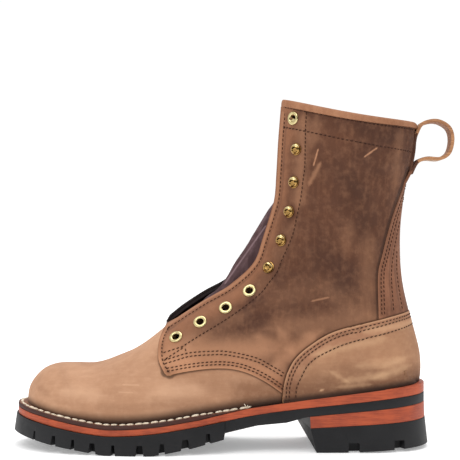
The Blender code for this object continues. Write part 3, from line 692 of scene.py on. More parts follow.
class Last:
    """The form the boot is built over."""

    def __init__(self) -> None:
        """Read the table and the seam line."""
        self.rows = np.array(LAST)
        self.seam_places = np.linspace(0, HEEL_ROW, 641)
        self.seam_line = smooth_rows(self.rows, self.seam_places)[:, BASE]

    def sections(self, place: Array) -> Sections:
        """Sections at fractional rows.

        Args:
            place: rows of the table.

        Returns:
            The sections there.
        """
        row = smooth_rows(self.rows, place)
        wide = np.maximum(row[..., WIDE], 0.0)
        gap = np.maximum(row[..., GAP], 0.0)
        belly = row[..., BELLY]
        ratio = np.where(wide > gap, gap / np.maximum(wide, 1e-9), 0.0)
        edge_height = belly + (1 - belly) * np.sqrt(1 - ratio ** 2)
        base = row[..., BASE] + np.array((0.0, JOIN))
        top = base + (row[..., EDGE_AT] - base) / edge_height[..., None]
        foot = np.clip(row[..., FOOT], 0.0, wide)
        return Sections(base, top, row[..., SWING], gap, wide, foot, belly, row[..., SHELF_WIDE])

    def gap(self, place: Array, side: Flank) -> Array:
        """Half-width of the throat at each section."""
        share = np.where(np.asarray(side) > 0, np.interp(place, MEDIAL_ROWS, MEDIAL_GAPS), 1.0)
        return self.sections(place).gap * share

    def edge_angle(self, place: Array, side: Flank) -> Array:
        """Profile angle where the throat cuts each section.

        Args:
            place: rows of the table.
            side: -1 outer, 1 inner.

        Returns:
            Angles in degrees.
        """
        cut = self.sections(place)
        gap = self.gap(place, side)
        ratio = np.where(cut.wide > gap, gap / np.maximum(cut.wide, 1e-9), 0.0)
        return np.degrees(np.arccos(np.clip(ratio, 0, 1)))

    def point(self, place: Array, angle: Array, side: Flank) -> Array:
        """Points of the last: angle -90 at the base, 0 at the widest place and 90 at the crest.

        Args:
            place: rows of the table.
            angle: degrees.
            side: -1 outer, 1 inner.

        Returns:
            Points in the last's frame.
        """
        cut = self.sections(place)
        turn = np.radians(np.abs(angle))
        swell = np.maximum(np.cos(turn), 0.0)
        low = np.asarray(angle) < 0
        share = np.where(cut.wide > 0, cut.foot / np.maximum(cut.wide, 1e-9), 1.0)
        height = np.where(low, cut.belly * (1 - np.sin(turn)), cut.belly + (1 - cut.belly) * np.sin(turn))
        flat = cut.foot + (cut.wide - cut.foot) * swell ** (2 / (2 - share))
        width = np.where(low, flat, cut.wide * swell)
        spot = cut.base + height[..., None] * (cut.top - cut.base)
        return np.stack((spot[..., 0], cut.swing + side * width, spot[..., 1]), axis=-1)

    def normal(self, place: Array, angle: Array, side: Flank) -> Array:
        """Outward directions of the last's surface.

        Args:
            place: rows of the table.
            angle: degrees.
            side: -1 outer, 1 inner.

        Returns:
            Directions of length 1.
        """
        ahead = (self.point(np.minimum(place + 0.04, TOP_ROW), angle, side)
                 - self.point(np.maximum(place - 0.04, 0), angle, side))
        up = (self.point(place, np.minimum(angle + 4, 90), side)
              - self.point(place, np.maximum(angle - 4, -90), side))
        out = np.cross(ahead, up) * -np.asarray(side, dtype=float)[..., None]
        middle = np.abs(self.point(place, angle, side)[..., 1] - self.sections(place).swing) < 1e-4
        out[..., 1] = np.where(middle, 0.0, out[..., 1])
        return out / np.maximum(np.linalg.norm(out, axis=-1, keepdims=True), 1e-12)

    def skin(self, place: Array, angle: Array, side: Flank, lift: Reach) -> Array:
        """Points in metres that stand off the last by lift.

        Args:
            place: rows of the table.
            angle: degrees.
            side: -1 outer, 1 inner.
            lift: distance outwards, in millimetres.

        Returns:
            Points in the part's frame.
        """
        lift = np.asarray(lift, dtype=float)[..., None]
        spots = self.point(place, angle, side) + self.normal(place, angle, side) * lift
        spots[..., 2] -= self.dip(spots[..., 0], spots[..., 2])
        return metres(spots)

    @staticmethod
    def dip(x: Array, z: Array) -> Array:
        """How far the flanks of the shaft hang below a straight collar.

        Args:
            x: places along the boot.
            z: heights.

        Returns:
            Drops in millimetres.
        """
        share = np.clip((x - COLLAR_X[0]) / (COLLAR_X[1] - COLLAR_X[0]), 0, 1)
        near = np.clip(1 - (np.interp(x, COLLAR_X, COLLAR_Z) - z) / DIP_REACH, 0, 1)
        return COLLAR_DIP * 4 * share * (1 - share) * near ** 2 * (3 - 2 * near)

    def locate(self, spots: Array) -> Array:
        """Section and angle of places in the side view.

        Args:
            spots: x and z pairs.

        Returns:
            Place and angle pairs.
        """
        spots = np.asarray(spots, dtype=float)
        low = np.zeros(len(spots))
        high = np.full(len(spots), float(TOP_ROW))
        for _ in range(44):
            middle = (low + high) / 2
            cut = self.sections(middle)
            run = cut.top - cut.base
            off = run[:, 0] * (spots[:, 1] - cut.base[:, 1]) - run[:, 1] * (spots[:, 0] - cut.base[:, 0])
            high = np.where(off > 0, middle, high)
            low = np.where(off > 0, low, middle)
        cut = self.sections(low)
        run = cut.top - cut.base
        height = np.sum((spots - cut.base) * run, axis=1) / np.sum(run * run, axis=1)
        under = -np.degrees(np.arcsin(np.clip(1 - height / cut.belly, -1, 1)))
        over = np.degrees(np.arcsin(np.clip((height - cut.belly) / (1 - cut.belly), -1, 1)))
        return np.stack((low, np.where(height < cut.belly, under, over)), axis=-1)

    def seam_z(self, x: Array) -> Array:
        """Height of the seam line between upper and sole.

        Args:
            x: places along the boot.

        Returns:
            Heights in millimetres.
        """
        rise = np.maximum(LAST[0][0] - x, 0.0) * TOE_RISE + np.maximum(x - HEEL_FLAT, 0.0) * HEEL_RISE
        line = np.interp(np.minimum(x, HEEL_FLAT), self.seam_line[:, 0], self.seam_line[:, 1])
        return line + rise + np.interp(x, CLIMB_X, CLIMB)

    def seam_place(self, x: Reach) -> Array:
        """Section whose base lies at x on the seam line."""
        return np.interp(x, self.seam_line[:, 0], self.seam_places)

    def plan_edge(self, place: Array, side: Flank, grow: Reach) -> tuple[Array, Array]:
        """Points on the sole's edge in plan, moved out by grow, and their outward directions.

        Args:
            place: rows of the table.
            side: -1 outer, 1 inner.
            grow: distance outwards.

        Returns:
            The points, and the directions.
        """
        def seam(at: Array) -> Array:
            """Plan of the seam line."""
            cut = self.sections(at)
            return np.stack((cut.base[..., 0], cut.swing + side * cut.foot), axis=-1)

        place = np.asarray(place, dtype=float)
        run = seam(np.minimum(place + 0.05, HEEL_ROW)) - seam(np.maximum(place - 0.05, 0))
        out = np.stack((run[..., 1], -run[..., 0]), axis=-1) * -np.asarray(side, dtype=float)[..., None]
        out = np.where((place <= 0)[..., None], np.array((-1.0, 0.0)), out)
        out = np.where((place >= HEEL_ROW)[..., None], np.array((1.0, 0.0)), out)
        out = unit(out)
        shelf = self.sections(place).shelf + grow
        front = seam(place) + out * shelf[..., None]
        start, long, half, power = HEEL_PLAN
        first = float(self.seam_place(start))
        turn = np.clip((place - first) / (HEEL_ROW - first), 0, 1) * math.pi / 2
        sine, cosine = np.sin(turn) ** (2 / power), np.abs(np.cos(turn)) ** (2 / power)
        round_out = np.stack((sine ** (power - 1) / long, side * cosine ** (power - 1) / half), axis=-1)
        round_out = unit(round_out)
        spot = np.stack((start + long * sine, -0.4 + side * half * cosine), axis=-1)
        spot = spot + round_out * np.asarray(grow, dtype=float)[..., None]
        share = np.clip((place - first) / 0.5, 0, 1)[..., None]
        blended = out * (1 - share) + round_out * share
        return front * (1 - share) + spot * share, unit(blended)

    def seat(self, spot: Pair, side: Side, lift: float) -> Matrix:
        """Frame on the leather under a side-view place: Z out of it and Y up the eyestay.

        Args:
            spot: x and z.
            side: side of the foot.
            lift: distance from the last.

        Returns:
            The frame, in metres.
        """
        place, angle = self.locate(np.array([spot]))[0]
        at = np.array([place])
        turn = np.array([angle])
        origin = Vector(self.skin(at, turn, side.value, lift)[0])
        out = Vector(self.normal(at, turn, side.value)[0])
        up = Vector(self.point(at + 0.2, turn, side.value)[0] - self.point(at, turn, side.value)[0])
        across = up.cross(out).normalized()
        frame = Matrix((across, out.cross(across), out)).transposed().to_4x4()
        frame.translation = origin
        return frame


class Bench:
    """Modelling steps shared by the assemblies."""

    @staticmethod
    def start() -> None:
        """Leave edit mode with nothing selected."""
        if bpy.context.object and bpy.context.object.mode != "OBJECT":
            bpy.ops.object.mode_set(mode="OBJECT")
        bpy.ops.object.select_all(action="DESELECT")

    @staticmethod
    def hold(piece: Piece) -> None:
        """Make a piece the only selected and active one.

        Args:
            piece: the piece.
        """
        Bench.start()
        piece.select_set(True)
        bpy.context.view_layer.objects.active = piece

    @staticmethod
    def settle() -> None:
        """Work the active piece's place, turn and size into its mesh."""
        bpy.ops.object.transform_apply(location=True, rotation=True, scale=True)

    @staticmethod
    def points(piece: Piece) -> Array:
        """Vertex places of a piece.

        Args:
            piece: the piece.

        Returns:
            One row for each vertex.
        """
        flat = np.empty(len(piece.data.vertices) * 3)
        piece.data.vertices.foreach_get("co", flat)
        return flat.reshape(-1, 3)

    @staticmethod
    def move(piece: Piece, points: Array) -> None:
        """Set a piece's vertex places."""
        piece.data.vertices.foreach_set("co", np.ascontiguousarray(points, dtype=float).ravel())
        piece.data.update()

    @staticmethod
    def grid(name: str, columns: int, rows: int, place: Placing) -> Piece:
        """Grid primitive laid over a surface.

        Args:
            name: name of the piece.
            columns: faces along u.
            rows: faces along v.
            place: gives points in metres at shares u and v.

        Returns:
            The sheet, not yet thick.
        """
        Bench.start()
        bpy.ops.mesh.primitive_grid_add(x_subdivisions=columns, y_subdivisions=rows, size=1)
        piece = bpy.context.object
        piece.name = name
        flat = Bench.points(piece)
        Bench.move(piece, place(np.round(flat[:, 0] + 0.5, 6), np.round(flat[:, 1] + 0.5, 6)))
        return piece

    @staticmethod
    def link(name: str, data: bpy.types.ID) -> Piece:
        """Object with the given data, put in the scene.

        Args:
            name: the object's name.
            data: its mesh, light or camera.

        Returns:
            The object.
        """
        made = bpy.data.objects.new(name, data)
        bpy.context.scene.collection.objects.link(made)
        return made

    @staticmethod
    def bead(half: Triple, fineness: int) -> Piece:
        """Ball of one stitch.

        Args:
            half: half sizes, in millimetres.
            fineness: subdivisions of the ball.

        Returns:
            The ball, at the origin.
        """
        Bench.start()
        bpy.ops.mesh.primitive_ico_sphere_add(subdivisions=fineness, radius=1)
        ball = bpy.context.object
        Bench.move(ball, Bench.points(ball) * np.array(half) * MM)
        return ball

    @staticmethod
    def round_edges(piece: Piece, width: float, degrees: float = 60.0) -> None:
        """Round the edges of a piece that turn by more than an angle."""
        Bench.modify(piece, "BEVEL", width=width, segments=2, limit_method="ANGLE",
                     angle_limit=math.radians(degrees))

    @staticmethod
    def faces(piece: Piece, what: str) -> Array:
        """Middles or directions of a piece's faces.

        Args:
            piece: the piece.
            what: center or normal.

        Returns:
            One row for each face.
        """
        flat = np.empty(len(piece.data.polygons) * 3)
        piece.data.polygons.foreach_get(what, flat)
        return flat.reshape(-1, 3)

    @staticmethod
    def modify(piece: Piece, kind: str, **settings: object) -> None:
        """Add a modifier and apply it.

        Args:
            piece: the piece.
            kind: modifier type.
            settings: its settings.
        """
        Bench.hold(piece)
        added = piece.modifiers.new(kind.lower(), kind)
        for key, setting in settings.items():
            setattr(added, key, setting)
        bpy.ops.object.modifier_apply(modifier=added.name)

    @staticmethod
    def edit(piece: Piece, *steps: Callable[[], object]) -> None:
        """Run edit-mode steps on the whole piece.

        Args:
            piece: the piece.
            steps: operators to call.
        """
        Bench.hold(piece)
        bpy.ops.object.mode_set(mode="EDIT")
        bpy.ops.mesh.select_all(action="SELECT")
        for step in steps:
            step()
        bpy.ops.object.mode_set(mode="OBJECT")

    @staticmethod
    def weld(piece: Piece, distance: float = 2e-5) -> None:
        """Merge points that lie together and turn all faces outward."""
        Bench.edit(piece, lambda: bpy.ops.mesh.remove_doubles(threshold=distance),
                   lambda: bpy.ops.mesh.dissolve_degenerate(threshold=1e-6),
                   lambda: bpy.ops.mesh.normals_make_consistent(inside=False))

    @staticmethod
    def flip(piece: Piece) -> None:
        """Turn a sheet over."""
        Bench.edit(piece, bpy.ops.mesh.flip_normals)

    @staticmethod
    def drop(piece: Piece, unwanted: Callable[[Array], Array]) -> None:
        """Delete the faces whose middles are unwanted.

        Args:
            piece: the piece.
            unwanted: picks faces by their middles.
        """
        Bench.hold(piece)
        faces = piece.data.polygons
        chosen = unwanted(Bench.faces(piece, "center"))
        bpy.ops.object.mode_set(mode="EDIT")
        bpy.ops.mesh.select_mode(type="FACE")
        bpy.ops.object.mode_set(mode="OBJECT")
        faces.foreach_set("select", chosen)
        bpy.ops.object.mode_set(mode="EDIT")
        bpy.ops.mesh.delete(type="FACE")
        bpy.ops.mesh.select_mode(type="VERT")
        bpy.ops.object.mode_set(mode="OBJECT")

    @staticmethod
    def slots(piece: Piece, count: int) -> None:
        """Make room for a number of materials."""
        while len(piece.data.materials) < count:
            piece.data.materials.append(None)

    @staticmethod
    def paint(piece: Piece, number: int, chosen: Picking) -> None:
        """Give chosen faces a material number.

        Args:
            piece: the mesh.
            number: the material number.
            chosen: picks faces by their middles, directions and present numbers.
        """
        faces = piece.data.polygons
        now = np.empty(len(faces), dtype=np.int32)
        faces.foreach_get("material_index", now)
        now[chosen(Bench.faces(piece, "center"), Bench.faces(piece, "normal"), now)] = number
        Bench.slots(piece, number + 1)
        faces.foreach_set("material_index", now)

    @staticmethod
    def join(name: str, pieces: Sequence[Piece]) -> Piece:
        """Join pieces into one.

        Args:
            name: name of the result.
            pieces: the pieces, used up.

        Returns:
            The joined piece.
        """
        Bench.start()
        for piece in pieces:
            piece.select_set(True)
        bpy.context.view_layer.objects.active = pieces[0]
        if len(pieces) > 1:
            bpy.ops.object.join()
        pieces[0].name = name
        return pieces[0]

    @staticmethod
    def smooth(piece: Piece, degrees: float = 40.0) -> None:
        """Shade smooth but for sharper edges."""
        Bench.hold(piece)
        bpy.ops.object.shade_smooth_by_angle(angle=math.radians(degrees))

    @staticmethod
    def close(piece: Piece) -> None:
        """Fill a tube's open ends and its underside, faces outward."""
        Bench.edit(piece, lambda: bpy.ops.mesh.select_all(action="DESELECT"),
                   bpy.ops.mesh.select_non_manifold,
                   lambda: bpy.ops.mesh.fill(use_beauty=False),
                   lambda: bpy.ops.mesh.select_all(action="SELECT"),
                   lambda: bpy.ops.mesh.normals_make_consistent(inside=False))

    @staticmethod
    def carve(piece: Piece, cutters: Sequence[Piece], edge: float) -> None:
        """Cut shapes out of a solid and round what is left.

        Args:
            piece: the solid.
            cutters: the shapes, used up.
            edge: width of the rounding, in metres.
        """
        tool = Bench.join("cutter", cutters)
        Bench.modify(piece, "BOOLEAN", operation="DIFFERENCE", object=tool, solver="EXACT", use_self=True)
        bpy.data.objects.remove(tool)
        Bench.round_edges(piece, edge, 50.0)
        Bench.smooth(piece)

    @staticmethod
    def stamp(name: str, shape: Piece, frames: Array) -> Piece:
        """Copies of a small shape in one mesh.

        Args:
            name: name of the joined piece.
            shape: the shape, used up.
            frames: one 3 x 4 frame for each copy.

        Returns:
            The joined piece.
        """
        local = Bench.points(shape)
        faces = [tuple(face.vertices) for face in shape.data.polygons]
        spots = np.einsum("nij,kj->nki", frames[:, :, :3], local) + frames[:, None, :, 3]
        count = len(local)
        mesh = bpy.data.meshes.new(name)
        copies = [tuple(i + count * n for i in face) for n in range(len(frames)) for face in faces]
        mesh.from_pydata(spots.reshape(-1, 3).tolist(), [], copies)
        piece = Bench.link(name, mesh)
        mesh.shade_smooth()
        bpy.data.objects.remove(shape)
        return piece

    @staticmethod
    def hand_over(piece: Piece, slot: str, finishes: Iterable[Finish], nodes: Iterable[str] = ()) -> None:
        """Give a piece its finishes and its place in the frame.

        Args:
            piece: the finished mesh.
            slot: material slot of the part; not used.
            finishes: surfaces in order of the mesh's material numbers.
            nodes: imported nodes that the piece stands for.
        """
        for number, finish in enumerate(finishes):
            Bench.slots(piece, number + 1)
            piece.data.materials[number] = finish.material()
        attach(piece, "root")
        for node in nodes:
            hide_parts(node)
        LOG.info("%s: %d faces", piece.name, len(piece.data.polygons))


def rub_or_light_marks(rows: Iterable[tuple[float, ...]]) -> tuple[RubOrLightMark, ...]:
    """Rub marks, painted shade and painted highlights from the rows of a table."""
    return tuple(RubOrLightMark(row[:2], row[2:4], *row[4:]) for row in rows)


# Marks: start x and z, end x and z, width and strength, which is below zero for a dark one; most are rub
# marks, and the ones noted below are painted shade and painted highlights
VAMP_RUBS_AND_SHADE = (
    (-77.0, 49.7, -65.5, 49.7, 0.8, 0.3), (-79.5, 44.5, -70.0, 44.5, 0.8, 0.25),
    (-140.0, 45.0, -134.0, 42.0, 5.0, -0.3), (-124.0, 56.0, -118.0, 48.0, 6.0, -0.22),
    (-92.0, 33.0, -62.0, 33.0, 5.0, -0.3), (-48.0, 45.0, -26.0, 46.0, 10.0, 0.32),
    # The dark marks from x -14 to 34 on this line and the next two are painted shade on the vamp's rear,
    # below the quarter's lower edge
    (-118.0, 44.0, -96.0, 42.0, 8.0, 0.3), (-14.0, 50.0, 14.0, 44.0, 12.0, -0.3),
    (6.0, 37.0, 34.0, 45.0, 14.0, -0.8), (10.0, 41.0, 32.0, 42.0, 9.0, -0.5),
    (8.0, 50.0, 27.0, 47.0, 10.0, -0.5), (10.0, 47.0, 24.0, 45.0, 8.0, -0.5),
    (-54.0, 36.0, -16.0, 35.0, 9.0, -0.4),
)
COUNTER_RUBS_AND_SHADE = (
    (72.0, 62.0, 100.0, 60.0, 9.0, -0.3), (57.0, 61.0, 70.0, 52.0, 11.0, -0.25),
    # The first mark on this line, dark along the counter's bottom, is painted shade above the sole
    (46.0, 43.0, 138.0, 51.0, 19.0, -0.8), (74.0, 58.0, 85.0, 51.5, 2.8, 0.26),
    (84.0, 51.5, 112.0, 56.0, 4.4, 0.28), (108.0, 55.0, 128.0, 60.5, 5.2, 0.32),
    (112.0, 62.0, 127.0, 67.0, 4.4, 0.25), (95.0, 63.0, 122.0, 66.0, 4.8, 0.22),
    (80.0, 47.5, 100.0, 49.0, 2.6, 0.24), (66.0, 45.0, 67.0, 45.5, 1.6, 0.6),
    (64.0, 72.0, 110.0, 82.0, 5.0, 0.3), (100.0, 88.0, 136.0, 93.0, 5.0, 0.35),
)
SHAFT_RUBS = (
    (84.0, 192.0, 95.0, 162.0, 20.0, -0.3), (67.0, 156.0, 82.0, 122.0, 20.0, -0.35),
    (94.0, 235.0, 114.0, 227.0, 8.0, -0.3), (-30.0, 84.0, 6.0, 98.0, 10.0, 0.16),
    (36.0, 66.0, 58.0, 82.0, 10.0, 0.5), (-30.0, 74.0, 22.0, 74.0, 17.0, 0.58),
    (-46.0, 66.0, -34.0, 64.0, 14.0, 0.75), (-28.0, 61.0, 34.0, 58.0, 11.0, 0.5),
    (24.0, 82.0, 34.0, 78.0, 8.0, 0.3), (38.0, 85.0, 43.0, 76.0, 7.0, 0.32),
    (86.0, 162.0, 84.0, 150.0, 9.0, 0.14), (36.0, 110.0, 64.0, 120.0, 16.0, 0.1),
    (78.0, 112.0, 92.0, 104.0, 14.0, 0.15), (58.0, 241.0, 130.0, 230.0, 9.0, -0.22),
    (53.0, 240.0, 50.0, 182.0, 8.0, 0.32), (46.0, 163.0, 22.0, 118.0, 8.0, 0.14),
    (-46.0, 81.0, -33.0, 76.0, 9.0, 0.32), (36.0, 90.0, 112.0, 96.0, 15.0, 0.26),
    (100.0, 150.0, 100.0, 112.0, 12.0, 0.16), (124.0, 230.0, 121.0, 195.0, 6.0, 0.16),
    (62.0, 238.0, 60.0, 226.0, 7.0, 0.2), (63.5, 218.8, 60.5, 208.0, 0.9, 0.75),
    (64.5, 208.0, 58.0, 195.0, 2.6, 0.35), (105.7, 220.0, 97.0, 213.8, 1.0, 0.7),
    (60.0, 109.5, 71.0, 112.0, 1.2, 0.4),
)
# Painted highlights: pale lines along the tongue's fold ridges
TONGUE_HIGHLIGHTS = (
    (-3.7, 121.1, 26.3, 163.6, 0.9, 0.8), (-6.5, 123.5, 27.0, 171.0, 0.7, 0.4),
)

# Finishes below marked for laps paint shadow under the edges of overlapping panels; a foot width paints
# shade and dirt along the bottom of the upper above the sole
VAMP = Nubuck("vamp nubuck", srgb(183, 141, 111), dark=srgb(158, 117, 89), pale=srgb(213, 172, 140),
              deep=srgb(128, 90, 66), grain=(60.0, 160.0, 330.0), streak=0.22, lap_shadow=True, foot=10.5,
              rubs_and_light=rub_or_light_marks(VAMP_RUBS_AND_SHADE))
COUNTER = Nubuck("counter nubuck", srgb(170, 127, 96), dark=srgb(142, 102, 76), pale=srgb(206, 166, 128),
                 deep=srgb(98, 65, 47), grain=(60.0, 60.0, 260.0), streak=0.24,
                 rim=srgb(152, 108, 82), band=10.5, soft=0.8, foot=7.0,
                 rubs_and_light=rub_or_light_marks(COUNTER_RUBS_AND_SHADE))
SHAFT = Nubuck("shaft nubuck", srgb(93, 59, 42), dark=srgb(73, 46, 34), pale=srgb(184, 134, 101),
               deep=srgb(56, 34, 26), grain=(260.0, 220.0, 60.0), streak=0.28,
               rim=srgb(138, 93, 67), band=14.0, lap_shadow=True,
               rubs_and_light=rub_or_light_marks(SHAFT_RUBS))
STAY = Nubuck("backstay nubuck", srgb(140, 94, 70), dark=srgb(102, 66, 49), pale=srgb(170, 121, 90),
              nap=0.00022, rim=srgb(132, 88, 65), band=5.0, lap_shadow=True)
# Painted shade: dark stand-in for the back seam strip and the loop's foot, which lie in shadow
STRAP_SHADE = Nubuck("back strip shade", srgb(104, 68, 50), dark=srgb(70, 44, 34), pale=srgb(140, 98, 72))
COLLAR = Nubuck("collar nubuck", srgb(162, 115, 86), dark=srgb(132, 88, 63), pale=srgb(206, 158, 122))
LOOP = Nubuck("loop nubuck", srgb(176, 132, 104), dark=srgb(146, 104, 80), pale=srgb(212, 168, 136))
FLESH = Nubuck("flesh side", srgb(176, 144, 116), dark=srgb(140, 108, 84), pale=srgb(202, 172, 144),
               nap=0.0003)
EDGE = CutLeather("cut edge", srgb(182, 133, 94), 0.75, dark=srgb(136, 92, 63))
LINING = Nubuck("lining", srgb(40, 29, 28), dark=srgb(22, 15, 15), pale=srgb(58, 44, 42))
TONGUE = Nubuck("tongue leather", srgb(84, 61, 62), dark=srgb(58, 41, 43), pale=srgb(158, 132, 136),
                nap=0.00015, rubs_and_light=rub_or_light_marks(TONGUE_HIGHLIGHTS))
STITCH = Thread("brown thread", srgb(74, 45, 33), 0.7, dark=srgb(42, 25, 19))
CREAM = Thread("welt thread", srgb(238, 226, 206), 0.75, dark=srgb(186, 166, 142))
MIDSOLE = CutLeather("sole edge", srgb(170, 77, 44), 0.55, dark=srgb(136, 56, 31), gloss=0.05)
STACK = CutLeather("heel stack", srgb(168, 76, 44), 0.55, dark=srgb(132, 54, 33), gloss=0.05,
                   layers=420.0)
WELT = CutLeather("welt leather", srgb(70, 37, 28), 0.65, dark=srgb(46, 25, 20))
SHELF = CutLeather("welt top", srgb(132, 90, 66), 0.7, dark=srgb(92, 58, 42))
RUBBER = Rubber("black rubber", srgb(20, 20, 22), 0.55, dust=srgb(38, 38, 40))
BRASS = Brass("hook brass", srgb(168, 132, 76), 0.18, dark=srgb(88, 64, 32))
# Painted shade on the hooks: their shadow side and the upper wall of their dish
HOOK_SHADE = Brass("hook shade brass", srgb(44, 31, 14), 0.45, dark=srgb(24, 17, 9))
# Eyelet brass, and also the painted highlight on each hook's crown
PALE_BRASS_AND_GLINT = Brass("pale brass and glint", srgb(206, 190, 140), 0.16, dark=srgb(120, 98, 52))
BOARD = CutLeather("insole board", srgb(196, 160, 122), 0.8, dark=srgb(166, 128, 94))


def strip_distance(spots: Array, line: Array) -> Array:
    """Distance of side-view places from a polyline.

    Args:
        spots: x and z pairs.
        line: the polyline.

    Returns:
        Distances in millimetres.
    """
    start = line[:-1]
    run = np.diff(line, axis=0)
    span = np.maximum(np.sum(run * run, axis=1), 1e-9)
    best = np.full(len(spots), 1e9)
    for a, d, s in zip(start, run, span):
        share = np.clip(((spots - a) @ d) / s, 0, 1)
        best = np.minimum(best, np.linalg.norm(spots - a - share[:, None] * d, axis=1))
    return best


@dataclass(frozen=True)
class Fold:
    """Soft crease in the leather along a line in the side view; depth below zero raises it."""

    line: Curve
    wide: float
    depth: float

    def lift(self, spots: Array) -> Array:
        """How far the fold moves the leather."""
        near = strip_distance(spots, smooth_curve(self.line, 4))
        return -self.depth * bell(near, self.wide)


@dataclass(frozen=True)
class Seam:
    """Row of stitches in the side view, sewn through one panel on both sides of the boot."""

    line: Array
    lift: float
    pitch: float = 3.1


def offset(line: Array, by: float) -> Array:
    """Side-view line moved to its left by a distance.

    Args:
        line: the line.
        by: the distance.

    Returns:
        The moved line.
    """
    run = np.gradient(line, axis=0)
    out = np.stack((-run[:, 1], run[:, 0]), axis=-1)
    return line + unit(out) * by


def slanted(run: Array, across: Array, angle: Array) -> tuple[Array, Array]:
    """Two square directions turned towards each other's places by an angle."""
    cosine, sine = np.cos(angle), np.sin(angle)
    return run * cosine + across * sine, across * cosine - run * sine


